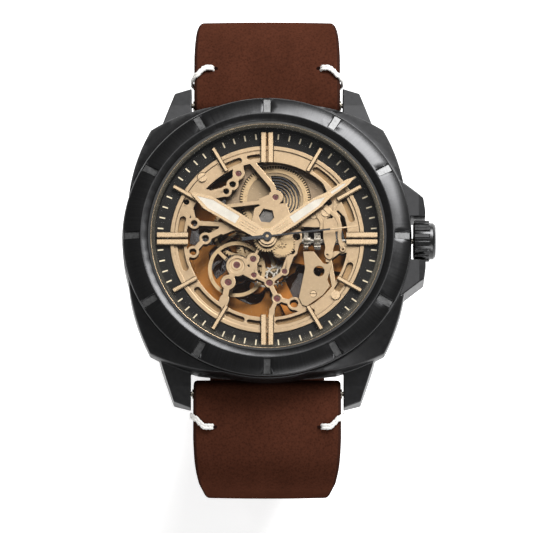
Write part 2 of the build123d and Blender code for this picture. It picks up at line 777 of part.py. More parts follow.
def make_ratchet_wheel():
    """Sits on the bridge side of the barrel and is turned by the crown wheel."""
    dx, dy = CROWN_WHEEL_AT[0] - BARREL_AT[0], CROWN_WHEEL_AT[1] - BARREL_AT[1]
    toward = math.degrees(math.atan2(dy, dx))
    wheel = gear(36, 3.3, DEPTH, *RATCHET_Z, BARREL_AT, toward)
    return wheel - disc(0.51, 4, 5, BARREL_AT)


def make_crown_wheel():
    dx, dy = CROWN_WHEEL_AT[0] - BARREL_AT[0], CROWN_WHEEL_AT[1] - BARREL_AT[1]
    toward = math.degrees(math.atan2(-dy, -dx))
    wheel = gear(18, 1.65, DEPTH, *RATCHET_Z, CROWN_WHEEL_AT, gap_phase(18, toward))
    return wheel + disc(0.5, 4.1, RATCHET_Z[1], CROWN_WHEEL_AT)


# ---------------------------------------------------------------- bridges
def make_train_bridge():
    """One plate that holds the lower pivots of the train, open where the wheels show."""
    plan = Circle(14.9) - Circle(11.6)
    faces = [plan]
    for spot_at in (THIRD_AT, ESCAPE_AT, PALLET_AT, CENTRE):
        faces.append(Pos(*spot_at) * Circle(1.1))
    for start, end, width in (
        (THIRD_AT, (-11.8, 5.5), 2.4),
        (THIRD_AT, CENTRE, 1.8),
        (CENTRE, ESCAPE_AT, 1.8),
        (ESCAPE_AT, (4.5, -11.8), 2.2),
        (ESCAPE_AT, PALLET_AT, 1.5),
        (CENTRE, (12.0, -2.5), 3.2),
    ):
        faces += bar_outline(start, end, width)
    plan = Sketch() + faces
    bridge = extrude(Pos(0, 0, BRIDGE_Z) * plan, BRIDGE_TOP - BRIDGE_Z)
    for at, r in ((THIRD_AT, 0.12), (ESCAPE_AT, 0.1), (PALLET_AT, 0.1), (CENTRE, 0.17)):
        bridge = bridge - disc(r + FIT, 3, 5, at)
    return bridge - box(-13, -3.2, -13, -2.4, 3, 5) - box(-3.2, 12, 8.6, 15, 3, 5)


def make_balance_cock():
    plan = Sketch() + bar_outline(BALANCE_AT, (-10.2, -9.2), 2.6) + [Pos(*BALANCE_AT) * Circle(1.7)]
    cock = extrude(Pos(0, 0, BRIDGE_Z) * plan, BRIDGE_TOP - BRIDGE_Z)
    foot = disc(1.3, BRIDGE_TOP - 0.01, PLATE_LOW, (-10.2, -9.2))
    return cock + foot - disc(0.12 + FIT, 3, 5, BALANCE_AT)


def make_barrel_bridge():
    plan = Sketch() + bar_outline(BARREL_AT, (1.2, 12.5), 4.6) + [Pos(*BARREL_AT) * Circle(2.2)]
    bridge = extrude(Pos(0, 0, BRIDGE_Z) * plan, 0.6)
    return bridge - disc(0.6, 3, 5, BARREL_AT) + disc(0.8, 3.85, PLATE_LOW, (1.2, 14.0))


def make_bridge_screws():
    screws = []
    for i, a in enumerate(PILLAR_ANGLES):
        x, y = polar(13.6, a)
        head = disc(0.7, BRIDGE_Z - 0.3, BRIDGE_Z, (x, y))
        slot = Pos(x, y, 0) * Rot(0, 0, 40 * i) * box(-1, 1, -0.1, 0.1, BRIDGE_Z - 0.4, BRIDGE_Z - 0.15)
        screws.append(head - slot)
    return screws


# ---------------------------------------------------------------- winding rotor
def make_rotor():
    web = ring(2.3, 14.0, 2.0, 2.35)
    rim = ring(11.2, 14.0, 1.75, 2.75)
    rotor = web + rim
    half = box(-15, 15, 0.8, 15, 1, 4)
    rotor = rotor - half
    for a in (200, 240, 300, 340):
        arc = Pos(0, 0, 1) * arc_slot(7.0, 3.6, a - 12, a + 12)
        rotor = rotor - extrude(arc, 2)
    return rotor + ring(1.52, 2.5, 1.85, 2.6)


def make_rotor_bearing():
    post = disc(1.5 - FIT, 1.75, 3.1)
    flange = ring(0.6, 1.9, 2.65, 3.28)
    return post.fuse(flange) - disc(0.35, 1, 2.0)


# ---------------------------------------------------------------- hands
def hand_blank(points_half, z0, z1):
    """A hand that points to 12, from the half widths along it as (distance, half width)."""
    right = [(w, r) for r, w in points_half]
    left = [(-w, r) for r, w in reversed(points_half) if w > 0]
    return prism(right + left, z0, z1)


HOUR_HAND = [(0.0, 0.85), (1.2, 0.92), (5.0, 1.08), (10.4, 1.12), (11.4, 0.78), (12.9, 0.28), (13.3, 0.0)]
HOUR_WINDOW = [(5.2, 0.66), (9.9, 0.74), (12.3, 0.0)]
MINUTE_HAND = [(0.0, 0.72), (1.2, 0.8), (4.5, 0.96), (9.2, 0.86), (11.2, 0.5), (14.6, 0.42), (16.2, 0.0)]
MINUTE_WINDOW = [(4.5, 0.6), (9.0, 0.56), (10.6, 0.0)]
MINUTE_TIP_WINDOW = [(11.7, 0.2), (13.9, 0.17), (14.4, 0.0)]
HOUR_ANGLE = 301.5
MINUTE_ANGLE = 54.7
SECOND_ANGLE = 83.3
HOUR_Z = (9.1, 9.34)
MINUTE_Z = (9.48, 9.72)
SECOND_Z = (9.86, 10.02)


def turn_to(clock_degrees, shape):
    return Rot(0, 0, -clock_degrees) * shape


def make_hour_hand():
    z0, z1 = HOUR_Z
    hand = hand_blank(HOUR_HAND, z0, z1) + disc(1.45, z0, z1)
    hand = hand - hand_blank(HOUR_WINDOW, z0 - 1, z1 + 1) - disc(0.95, z0 - 1, z1 + 1)
    for x in (-0.4, 0.0, 0.4):
        hand = hand - box(x - 0.06, x + 0.06, 1.7, 4.6, z1 - 0.07, z1 + 1)
    return turn_to(HOUR_ANGLE, hand)


def make_hour_lume():
    z0, z1 = HOUR_Z
    return turn_to(HOUR_ANGLE, hand_blank(HOUR_WINDOW, z0 + 0.03, z1 - 0.03))


def make_minute_hand():
    z0, z1 = MINUTE_Z
    hand = hand_blank(MINUTE_HAND, z0, z1) + disc(1.15, z0, z1)
    hand = hand - hand_blank(MINUTE_WINDOW, z0 - 1, z1 + 1)
    hand = hand - hand_blank(MINUTE_TIP_WINDOW, z0 - 1, z1 + 1)
    hand = hand - disc(0.6, z0 - 1, z1 + 1)
    for x in (-0.3, 0.0, 0.3):
        hand = hand - box(x - 0.05, x + 0.05, 1.5, 4.0, z1 - 0.07, z1 + 1)
    return turn_to(MINUTE_ANGLE, hand)


def make_minute_lume():
    z0, z1 = MINUTE_Z
    fills = [hand_blank(window, z0 + 0.03, z1 - 0.03) for window in (MINUTE_WINDOW, MINUTE_TIP_WINDOW)]
    return [turn_to(MINUTE_ANGLE, fill) for fill in fills]


def make_seconds_hand():
    z0, z1 = SECOND_Z
    needle = box(-0.12, 0.12, 0.3, 9.4, z0, z1) + box(-0.1, 0.1, 9.3, 13.6, z0, z1)
    tail = box(-0.26, 0.26, -3.8, -0.3, z0, z1)
    hub = disc(0.67, z0, z1 + 0.12)
    return turn_to(SECOND_ANGLE, needle + tail + hub - disc(0.17, z0 - 1, z1 + 1))


# ---------------------------------------------------------------- crown and keyless work
CROWN_R = 3.08
CROWN_X = 21.75
CROWN_RIBS = 16
STEM_R = 0.42


def make_crown():
    x0 = CROWN_X
    barrel_r = CROWN_R - 0.25
    low = [(0, 0), (2.55, 0), (barrel_r, 0.2), (barrel_r, 2.35)]
    cap = [(2.75, 2.6), (2.75, 2.95), (2.35, 3.35), (0, 3.35)]
    section = low + cap
    crown = turned(section)
    for i in range(CROWN_RIBS):
        rib = prism([(2.5, -0.36), (CROWN_R, -0.24), (CROWN_R, 0.24), (2.5, 0.36)], 0.15, 2.4)
        crown = crown + Rot(0, 0, i * 360 / CROWN_RIBS) * rib
    crown = crown - disc(0.45, -1, 1.6)
    return Pos(x0, 0, CROWN_Z) * Rot(0, 90, 0) * crown


def make_stem():
    thin = rod_x(STEM_R, 5.2, CROWN_X + 1.5, 0, CROWN_Z)
    groove = rod_x(1.0, 8.9, 9.3, 0, CROWN_Z) - rod_x(0.26, 8, 10, 0, CROWN_Z)
    return thin - groove


def axial_gear(teeth, radius, x0, x1, bore):
    wheel = gear(teeth, radius, 0.3, 0, x1 - x0, bore=bore)
    return Pos(x0, 0, CROWN_Z) * Rot(0, 90, 0) * wheel


def make_winding_pinion():
    return axial_gear(12, 1.15, 7.0, 7.95, STEM_R + FIT)


def make_sliding_pinion():
    clutch = axial_gear(12, 1.15, 5.45, 6.1, STEM_R + FIT)
    collar = rod_x(0.8, 6.1, 6.5, 0, CROWN_Z) - rod_x(STEM_R + FIT, 5, 7, 0, CROWN_Z)
    return clutch + collar


def make_setting_lever():
    """Its pin stands in the stem's groove and moves out with the stem."""
    outline = [(8.7, -3.5), (9.2, -3.6), (9.5, -2.6), (9.5, -1.0), (8.8, -1.0)]
    arm = prism(outline, Z_DIAL + 0.03, Z_DIAL + 0.25)
    pin = box(8.96, 9.24, -1.5, -0.3, CROWN_Z - 0.12, CROWN_Z + 0.12)
    post = box(8.9, 9.3, -1.6, -1.1, CROWN_Z - 0.12, Z_DIAL + 0.1)
    return arm + pin + post


def make_crown_tube():
    tube = rod_x(0.94, 17.8, 21.3, 0, CROWN_Z) - rod_x(STEM_R + 2 * FIT, 17, 22, 0, CROWN_Z)
    return tube


# ---------------------------------------------------------------- strap and buckle
def make_spring_bar(sign):
    y = sign * BAR_Y
    tube = rod_x(BAR_R, -LUG_INNER_X + 0.2, LUG_INNER_X - 0.2, y, BAR_Z)
    pins = rod_x(BAR_R / 2, -LUG_INNER_X - 1.1, LUG_INNER_X + 1.1, y, BAR_Z)
    return tube + pins


# A strap half's outer face in (y, z), from above the spring bar: (radius, degrees turned), or
# (None, length) for a straight run. Every bend turns the same way, round the wrist.
STRAP_START = (BAR_Y, BAR_Z + STRAP_END_R)
ROUTE_12 = [(28.0, 21), (7.8, 65), (60.0, 14), (26.0, 34), (17.0, 46), (None, 8.0)]
ROUTE_6 = [(24.0, 23), (6.2, 70), (85.0, 14), (75.0, 22), (24.0, 40), (60.0, 24)]
FOLD_ROUTE = 1
FOLD_THICK = 1.1


def route_line(route, inset):
    """The edges and the end points of a route, moved inward by inset."""
    y, z = STRAP_START[0], STRAP_START[1] - inset
    heading = 0.0
    edges = []
    first = (y, z)
    for radius, amount in route:
        a = math.radians(heading)
        if radius is None:
            end = (y + amount * math.cos(a), z + amount * math.sin(a))
            edges.append(Line((y, z), end))
        else:
            r = radius - inset
            cy, cz = y + r * math.sin(a), z - r * math.cos(a)
            stops = []
            for part in (0.5, 1.0):
                b = math.radians(heading - amount * part)
                stops.append((cy - r * math.sin(b), cz + r * math.cos(b)))
            edges.append(ThreePointArc((y, z), stops[0], stops[1]))
            end = stops[1]
            heading -= amount
        y, z = end
    return edges, first, (y, z), heading


def strip_face(route, inset_0, inset_1):
    """A strip between two insets of a route, as a flat face in (y, z)."""
    outer, start_0, end_0, _ = route_line(route, inset_0)
    inner, start_1, end_1, _ = route_line(route, inset_1)
    return make_face(outer + inner + [Line(start_0, start_1), Line(end_0, end_1)])


END_12 = route_line(ROUTE_12, 0.0)[2]
END_6 = route_line(ROUTE_6, 0.0)[2]
STRAP_LOW_12 = END_12[1]
BUCKLE_Y = END_12[0]
BUCKLE_Z = STRAP_LOW_12 + STRAP_THICK / 2
SIDE_TAPER = [(11.0, 8.0), (11.0, 3.5), (10.45, -3.6), (9.75, -15.0), (9.2, -30.0), (9.0, -62.0)]
TAIL_HOLES = 7
TAIL_HOLE_PITCH = 6.0


def strap_blank(face):
    """The strip, extruded across and narrowed along its length."""
    wide = extrude(Plane.YZ.offset(-15) * face, 30)
    right = Spline(*SIDE_TAPER)
    left = Spline(*[(-x, z) for x, z in SIDE_TAPER])
    outline = make_face([
        right,
        left,
        Line(SIDE_TAPER[0], (-SIDE_TAPER[0][0], SIDE_TAPER[0][1])),
        Line(SIDE_TAPER[-1], (-SIDE_TAPER[-1][0], SIDE_TAPER[-1][1])),
    ])
    taper = extrude(Plane.XZ.offset(-60) * outline, 120)
    return wide & taper


def bar_loop():
    return rod_x(STRAP_END_R, -STRAP_HALF_WIDTH, STRAP_HALF_WIDTH, BAR_Y, BAR_Z)


def make_strap_12():
    band = strip_face(ROUTE_12, 0.0, STRAP_THICK)
    fold = strip_face(ROUTE_12[:FOLD_ROUTE], STRAP_THICK - 0.02, STRAP_THICK + FOLD_THICK)
    strap = strap_blank(band) + strap_blank(fold) + bar_loop()
    strap = strap - rod_x(BAR_R + FIT, -20, 20, BAR_Y, BAR_Z)
    strap = strap + rod_x(1.3, -9.1, 9.1, BUCKLE_Y, BUCKLE_Z)
    strap = strap - rod_x(0.6 + FIT, -20, 20, BUCKLE_Y, BUCKLE_Z)
    return strap - box(-1.5, 1.5, BUCKLE_Y - 4, BUCKLE_Y + 3.6, BUCKLE_Z - 3, BUCKLE_Z + 3)


def make_strap_6():
    band = strip_face(ROUTE_6, 0.0, STRAP_THICK)
    fold = strip_face(ROUTE_6[:FOLD_ROUTE], STRAP_THICK - 0.02, STRAP_THICK + FOLD_THICK)
    strap = strap_blank(band) + strap_blank(fold) + bar_loop()
    strap = strap - rod_x(BAR_R + FIT, -20, 20, BAR_Y, BAR_Z)
    tail_y = END_6[0]
    tip = 8.0
    keep = Pos(0, tail_y + tip, -62) * extrude(Ellipse(9.2, tip), 30)
    corner_cut = box(-15, 15, tail_y - 5, tail_y + tip, -62, -45) - keep
    strap = strap - corner_cut
    for i in range(TAIL_HOLES):
        y = tail_y + 11.0 + i * TAIL_HOLE_PITCH
        strap = strap - disc(0.9, -62, -40, (0, y))
    return strap.mirror(Plane.XZ)


BUCKLE_REACH = 12.6


def make_buckle_frame():
    low, high = BUCKLE_Z - 1.35, BUCKLE_Z + 1.0
    outer = box(-12.0, 12.0, BUCKLE_Y - BUCKLE_REACH, BUCKLE_Y + 1.6, low, high)
    outer = fillet(outer.edges().filter_by(Axis.Z), 2.0)
    inner = box(-9.35, 9.35, BUCKLE_Y - BUCKLE_REACH + 2.6, BUCKLE_Y + 4, low - 1, high + 1)
    return outer - inner - rod_x(0.6, -11.0, 11.0, BUCKLE_Y, BUCKLE_Z)


def make_buckle_bar():
    return rod_x(0.6, -11.0, 11.0, BUCKLE_Y, BUCKLE_Z)


def make_prong():
    y, z = BUCKLE_Y, BUCKLE_Z
    low = BUCKLE_Z - 1.4
    far = BUCKLE_Y - BUCKLE_REACH - 0.4
    outline = [
        (y - 0.4, z + 1.1),
        (y - 3.5, low + 0.1),
        (far, low),
        (far - 0.6, low - 0.6),
        (far, low - 1.0),
        (y - 2.6, low - 0.9),
        (y, z - 1.1),
    ]
    prong = prism_x(outline, -0.9, 0.9) + rod_x(1.1, -1.2, 1.2, y, z)
    return prong - rod_x(0.6 + FIT, -2, 2, y, z)


KEEPER_WIDTH = 4.5


def keeper(y_mid, lift, room):
    """A leather loop round the strap, with room for the tail."""
    half = 9.75
    top = STRAP_LOW_12 + STRAP_THICK + lift
    low = STRAP_LOW_12 - room
    wall = 1.0
    y0, y1 = y_mid - KEEPER_WIDTH / 2, y_mid + KEEPER_WIDTH / 2
    outer = box(-half - wall, half + wall, y0, y1, low - wall, top + wall)
    outer = fillet(outer.edges().filter_by(Axis.Y), 0.9)
    return outer - box(-half, half, y0 - 1, y1 + 1, low, top)


def make_free_keeper():
    return keeper(BUCKLE_Y + 10.3, 1.75, 1.3)


def make_fixed_keeper():
    """Sewn to the strap's inner face beside the buckle."""
    y_mid = BUCKLE_Y + 5.6
    pad_z = STRAP_LOW_12 + STRAP_THICK
    return keeper(y_mid, 0.12, 2.4) + box(-8, 8, y_mid - 1, y_mid + 1, pad_z, pad_z + 0.14)


# ---------------------------------------------------------------- everything, by node name
def main():
    os.makedirs("parts", exist_ok=True)
    strap_12 = make_strap_12()
    strap_6 = make_strap_6()
    nodes = {
        "case_body": make_case_body(),
        "bezel": make_bezel(),
        "bezel_inlays": make_slot_inlays(),
        "crystal": make_crystal(),
        "crystal_gasket": make_gasket(),
        "inner_flange": make_flange(),
        "chapter_ring": make_chapter_ring(),
        "minute_ticks": make_ticks(),
        "hour_markers": make_markers(),
        "dial_plate": make_dial_plate(),
        "main_plate": make_main_plate(),
        "jewels": make_jewels(),
        "dial_screws": [*make_dial_screws(), make_cover_screw()],
        "cover_plate": make_cover_plate(),
        "keyless_plates": [make_setting_plate(), make_yoke()],
        "movement_holder": make_holder(),
        "case_back": make_case_back(),
        "case_back_glass": disc(13.4, 0.0, 1.28),
        "case_back_gasket": ring(13.42, 13.88, 0.1, 1.28),
        "train_bridge": make_train_bridge(),
        "balance_cock": make_balance_cock(),
        "barrel_bridge": make_barrel_bridge(),
        "bridge_screws": make_bridge_screws(),
        "rotor_bearing": make_rotor_bearing(),
        "rotor": make_rotor(),
        "barrel_drum": make_barrel(),
        "barrel_cover": make_barrel_cover(),
        "mainspring": make_mainspring(),
        "barrel_arbor": make_barrel_arbor(),
        "ratchet_wheel": make_ratchet_wheel(),
        "crown_wheel": make_crown_wheel(),
        "centre_wheel": make_centre_wheel(),
        "cannon_pinion": make_cannon_pinion(),
        "minute_wheel": make_minute_wheel(),
        "hour_wheel": make_hour_wheel(),
        "third_wheel": make_third_wheel(),
        "fourth_wheel": make_fourth_wheel(),
        "escape_wheel": make_escape_wheel(),
        "pallet_fork": make_pallet_fork(),
        "balance_wheel": make_balance_wheel(),
        "hairspring": make_hairspring(),
        "hour_hand": make_hour_hand(),
        "minute_hand": make_minute_hand(),
        "seconds_hand": make_seconds_hand(),
        "hour_hand_lume": make_hour_lume(),
        "minute_hand_lume": make_minute_lume(),
        "crown": make_crown(),
        "winding_stem": make_stem(),
        "winding_pinion": make_winding_pinion(),
        "sliding_pinion": make_sliding_pinion(),
        "setting_lever": make_setting_lever(),
        "crown_tube": make_crown_tube(),
        "strap_12": strap_12,
        "strap_6": strap_6,
        "spring_bars": [make_spring_bar(1), make_spring_bar(-1)],
        "buckle_frame": make_buckle_frame(),
        "buckle_bar": make_buckle_bar(),
        "buckle_prong": make_prong(),
        "keeper_fixed": make_fixed_keeper(),
        "keeper_free": make_free_keeper(),
    }
    for name, shape in nodes.items():
        solids = Compound(children=shape) if isinstance(shape, list) else shape
        write(name, solids)


if __name__ == "__main__":
    main()
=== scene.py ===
import math

import bmesh
import bpy
from mathutils import Matrix, Vector


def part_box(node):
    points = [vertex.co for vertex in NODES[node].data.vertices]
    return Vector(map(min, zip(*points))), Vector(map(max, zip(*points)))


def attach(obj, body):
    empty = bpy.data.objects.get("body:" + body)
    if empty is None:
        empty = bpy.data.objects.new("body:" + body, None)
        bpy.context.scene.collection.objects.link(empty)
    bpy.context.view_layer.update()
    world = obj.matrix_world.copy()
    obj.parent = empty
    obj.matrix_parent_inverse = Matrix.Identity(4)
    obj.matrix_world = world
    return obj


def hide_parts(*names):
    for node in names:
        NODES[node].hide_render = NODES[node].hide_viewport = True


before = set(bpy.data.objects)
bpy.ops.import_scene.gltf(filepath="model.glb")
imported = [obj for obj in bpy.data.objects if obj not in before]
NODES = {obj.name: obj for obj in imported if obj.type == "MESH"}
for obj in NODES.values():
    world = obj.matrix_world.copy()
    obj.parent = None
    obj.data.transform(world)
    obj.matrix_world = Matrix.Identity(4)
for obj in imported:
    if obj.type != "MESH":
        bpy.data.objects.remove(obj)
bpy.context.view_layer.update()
MM = 0.001


# ---------------------------------------------------------------- node helpers
class Nodes:
    """A short way to write a material's node tree."""

    def __init__(self, name):
        self.mat = bpy.data.materials.new(name)
        self.mat.use_nodes = True
        self.tree = self.mat.node_tree
        self.shader = self.tree.nodes["Principled BSDF"]
        texture = self.tree.nodes.new("ShaderNodeTexCoord")
        self.coords = texture.outputs["Object"]
        self.facing = texture.outputs["Normal"]

    def feed(self, socket, value):
        if isinstance(value, bpy.types.NodeSocket):
            self.tree.links.new(value, socket)
        else:
            socket.default_value = value

    def math(self, operation, a, b=0.0, c=0.0):
        node = self.tree.nodes.new("ShaderNodeMath")
        node.operation = operation
        for i, value in enumerate((a, b, c)):
            self.feed(node.inputs[i], value)
        return node.outputs[0]

    def vector(self, operation, a, b=(0, 0, 0)):
        node = self.tree.nodes.new("ShaderNodeVectorMath")
        node.operation = operation
        self.feed(node.inputs[0], a)
        self.feed(node.inputs[1], b)
        return node

    def split(self, value):
        node = self.tree.nodes.new("ShaderNodeSeparateXYZ")
        self.feed(node.inputs[0], value)
        return node.outputs

    def join(self, x, y, z):
        node = self.tree.nodes.new("ShaderNodeCombineXYZ")
        for i, value in enumerate((x, y, z)):
            self.feed(node.inputs[i], value)
        return node.outputs[0]

    def scaled(self, factors, coords=None):
        return self.vector("MULTIPLY", coords or self.coords, factors).outputs[0]

    def noise(self, coords, scale, detail=3.0, rough=0.55):
        node = self.tree.nodes.new("ShaderNodeTexNoise")
        self.feed(node.inputs["Vector"], coords)
        node.inputs["Scale"].default_value = scale
        node.inputs["Detail"].default_value = detail
        node.inputs["Roughness"].default_value = rough
        return node.outputs["Fac"]

    def voronoi(self, coords, scale, feature="F1"):
        node = self.tree.nodes.new("ShaderNodeTexVoronoi")
        node.feature = feature
        self.feed(node.inputs["Vector"], coords)
        node.inputs["Scale"].default_value = scale
        return node

    def ramp(self, value, stops, colours=False):
        node = self.tree.nodes.new("ShaderNodeValToRGB")
        self.feed(node.inputs[0], value)
        elements = node.color_ramp.elements
        while len(elements) < len(stops):
            elements.new(0.5)
        for element, (place, shade) in zip(elements, stops):
            element.position = place
            if not colours:
                shade = (shade, shade, shade)
            element.color = (*shade, 1)
        return node.outputs[0]

    def mix(self, factor, a, b, blend="MIX"):
        node = self.tree.nodes.new("ShaderNodeMix")
        node.data_type = "RGBA"
        node.blend_type = blend
        self.feed(node.inputs[0], factor)
        for socket, value in ((node.inputs[6], a), (node.inputs[7], b)):
            if not isinstance(value, bpy.types.NodeSocket):
                value = (*value, 1)
            self.feed(socket, value)
        return node.outputs[2]

    def bump(self, height, strength, distance, normal=None):
        node = self.tree.nodes.new("ShaderNodeBump")
        node.inputs["Strength"].default_value = strength
        node.inputs["Distance"].default_value = distance
        self.feed(node.inputs["Height"], height)
        if normal is not None:
            self.feed(node.inputs["Normal"], normal)
        return node.outputs[0]

    def finish(self, **sockets):
        for key, value in sockets.items():
            if key in ("Base_Color", "Specular_Tint", "Coat_Tint", "Sheen_Tint", "Emission_Color"):
                if not isinstance(value, bpy.types.NodeSocket):
                    value = (*value, 1)
            self.feed(self.shader.inputs[key.replace("_", " ")], value)
        return self.mat


def polar_coords(n, centre=(0, 0), ring_scale=1.0, turn_scale=1.0):
    """Object coordinates as (radius, angle, z), scaled for circular brushing, and the radius itself."""
    x, y, z = n.split(n.coords)
    dx = n.math("SUBTRACT", x, centre[0] * MM)
    dy = n.math("SUBTRACT", y, centre[1] * MM)
    radius = n.math("SQRT", n.math("ADD", n.math("MULTIPLY", dx, dx), n.math("MULTIPLY", dy, dy)))
    angle = n.math("ARCTAN2", dy, dx)
    rings = n.math("MULTIPLY", radius, ring_scale)
    turns = n.math("MULTIPLY", angle, turn_scale)
    return n.join(rings, turns, z), radius


def painted_wall_shade(n, base, shade):
    """Paints shade on the sides that stand upright, cut through the sheet: they turn to a deeper tone,
    standing in for the shade on those walls.
    """
    upright = n.math("ABSOLUTE", n.split(n.facing)[2])
    return n.mix(n.ramp(upright, [(0.2, 1.0), (0.8, 0.0)]), base, n.mix(1.0, base, shade, "MULTIPLY"))


# ---------------------------------------------------------------- metals
def brushed_circular(name, colour, rough, spread, centre=(0, 0), depth=0.00002, rays=90.0):
    """Metal brushed across its radius: fine streaks that run outward from the centre."""
    n = Nodes(name)
    coords, _ = polar_coords(n, centre, 90.0, rays)
    streak = n.noise(coords, 1.0, 4.0, 0.7)
    fine = n.noise(n.scaled((1, 1, 1)), 2600.0, 2.0, 0.6)
    shade = n.math("ADD", n.math("MULTIPLY", streak, 0.75), n.math("MULTIPLY", fine, 0.25))
    tone = n.ramp(shade, [(0.3, 0.8), (0.7, 1.16)])
    base = n.mix(1.0, colour, tone, "MULTIPLY")
    roughness = n.math("MULTIPLY_ADD", shade, spread, rough - spread / 2)
    return n.finish(Base_Color=base, Metallic=1.0, Roughness=roughness, Normal=n.bump(streak, 0.12, depth))


def satin_metal(
    name, colour, rough, scale=(1, 1, 1), fineness=900.0, bump=0.15, tone=(0.85, 1.12), walls=None
):
    """Metal with a fine blasted or straight-brushed grain; scale stretches the grain."""
    n = Nodes(name)
    coords = n.scaled(scale)
    grain = n.noise(coords, fineness, 3.0, 0.65)
    cloud = n.noise(n.coords, 120.0, 2.0, 0.5)
    blend = n.math("ADD", n.math("MULTIPLY", grain, 0.7), n.math("MULTIPLY", cloud, 0.3))
    shade = n.ramp(blend, [(0.3, tone[0]), (0.7, tone[1])])
    base = n.mix(1.0, colour, shade, "MULTIPLY")
    # Painted shade: when walls is given, upright side walls are darkened in colour.
    if walls:
        base = painted_wall_shade(n, base, walls)
    roughness = n.math("MULTIPLY_ADD", grain, 0.16, rough - 0.08)
    return n.finish(Base_Color=base, Metallic=1.0, Roughness=roughness, Normal=n.bump(grain, bump, 0.00001))


def plain_gloss(name, colour, rough, metallic=0.0, coat=0.0, spec=0.5):
    n = Nodes(name)
    grain = n.noise(n.coords, 700.0, 2.0, 0.5)
    shade = n.ramp(grain, [(0.3, 0.9), (0.7, 1.08)])
    base = n.mix(1.0, colour, shade, "MULTIPLY")
    return n.finish(
        Base_Color=base,
        Metallic=metallic,
        Roughness=n.math("MULTIPLY_ADD", grain, 0.08, rough - 0.04),
        Coat_Weight=coat,
        Specular_IOR_Level=spec,
    )


def give(names, mat):
    for name in names.split():
        slots = NODES[name].data.materials
        slots.clear()
        slots.append(mat)


GOLD = (0.395, 0.285, 0.175)
GOLD_BRIGHT = (0.47, 0.345, 0.215)
# Painted shade: a darker gold for gilt that lies deeper or in a groove.
GOLD_SHADED = (0.3, 0.19, 0.095)
BLACK_METAL = (0.045, 0.045, 0.046)
# Painted shade: the tone that upright walls of gilt parts are multiplied by.
WALL_SHADE = (0.34, 0.26, 0.19)
BARREL = (1.2, 6.7)
BARREL_TEETH = 80
BALANCE = (-4.53, -3.9)

case_black = satin_metal("case_black", BLACK_METAL, 0.4, (1, 1, 1), 1400.0, 0.12, (0.9, 1.1))
bezel_black = brushed_circular("bezel_black", (0.05, 0.05, 0.051), 0.3, 0.14)
inlay_grey = satin_metal("inlay_grey", (0.14, 0.14, 0.14), 0.42, (1, 1, 1), 2200.0, 0.4, (0.6, 1.4))
crown_black = satin_metal("crown_black", (0.06, 0.06, 0.061), 0.3)
give("case_body", case_black)
give("bezel", bezel_black)
give("bezel_inlays", inlay_grey)
give("crown", crown_black)
give("case_back", brushed_circular("case_back_black", BLACK_METAL, 0.38, 0.2))
give("buckle_frame buckle_prong", satin_metal("buckle_black", BLACK_METAL, 0.34, (1, 8, 8), 700.0))
give("crystal_gasket case_back_gasket", plain_gloss("gasket_rubber", (0.012, 0.012, 0.012), 0.55))
give("movement_holder", plain_gloss("holder_plastic", (0.012, 0.012, 0.012), 0.6))
give("inner_flange", satin_metal("flange_black", (0.012, 0.012, 0.012), 0.4))
give("chapter_ring", plain_gloss("chapter_black", (0.011, 0.01, 0.009), 0.5, spec=0.12))
give("minute_ticks", plain_gloss("tick_cream", (0.84, 0.72, 0.5), 0.5))

# The gilt dial, plate, cover and marker materials get painted shade on their upright walls.
dial_gold = satin_metal("dial_gold", GOLD, 0.34, (1, 1, 1), 1500.0, 0.2, walls=WALL_SHADE)
# Painted shade: the main plate sits below the dial plate and gets a darker gold in place of the shade it
# lies in.
plate_gold_shaded = satin_metal("plate_gold_shaded", GOLD_SHADED, 0.36, (1, 1, 1), 1500.0, 0.2, walls=WALL_SHADE)
marker_gold = satin_metal("marker_gold", GOLD_BRIGHT, 0.28, (1, 1, 1), 1800.0, 0.02, (0.93, 1.05), WALL_SHADE)
give("dial_plate", dial_gold)
give("main_plate", plate_gold_shaded)
give("keyless_plates", dial_gold)
cover_sand = satin_metal("cover_sand", (0.36, 0.265, 0.165), 0.5, (1, 1, 1), 2600.0, 0.3, walls=WALL_SHADE)
give("cover_plate", cover_sand)
give("hour_markers dial_screws", marker_gold)
give("hour_hand minute_hand", marker_gold)
give("hour_hand_lume minute_hand_lume", plain_gloss("lume", (0.68, 0.63, 0.54), 0.6, spec=0.2))

wheel_gold = satin_metal("wheel_gold", (0.42, 0.3, 0.17), 0.3, (1, 1, 1), 1600.0, 0.1, walls=WALL_SHADE)
amber = satin_metal("bridge_amber", (0.34, 0.13, 0.03), 0.34)
steel = satin_metal("steel", (0.42, 0.38, 0.32), 0.28)
dark_steel = satin_metal("dark_steel", (0.05, 0.05, 0.055), 0.35)
give("train_bridge barrel_bridge balance_cock", amber)
give("fourth_wheel centre_wheel minute_wheel hour_wheel third_wheel ratchet_wheel crown_wheel", wheel_gold)
give("balance_wheel", wheel_gold)
give("barrel_drum", wheel_gold)
give("barrel_cover", brushed_circular("barrel_taupe", (0.3, 0.22, 0.135), 0.36, 0.2, BARREL))
give("mainspring hairspring", dark_steel)
give("cannon_pinion escape_wheel pallet_fork barrel_arbor bridge_screws rotor_bearing", steel)
give("setting_lever", dial_gold)
give("crown_tube winding_stem winding_pinion sliding_pinion spring_bars buckle_bar", steel)
give("rotor", brushed_circular("rotor_amber", (0.34, 0.14, 0.036), 0.34, 0.2))


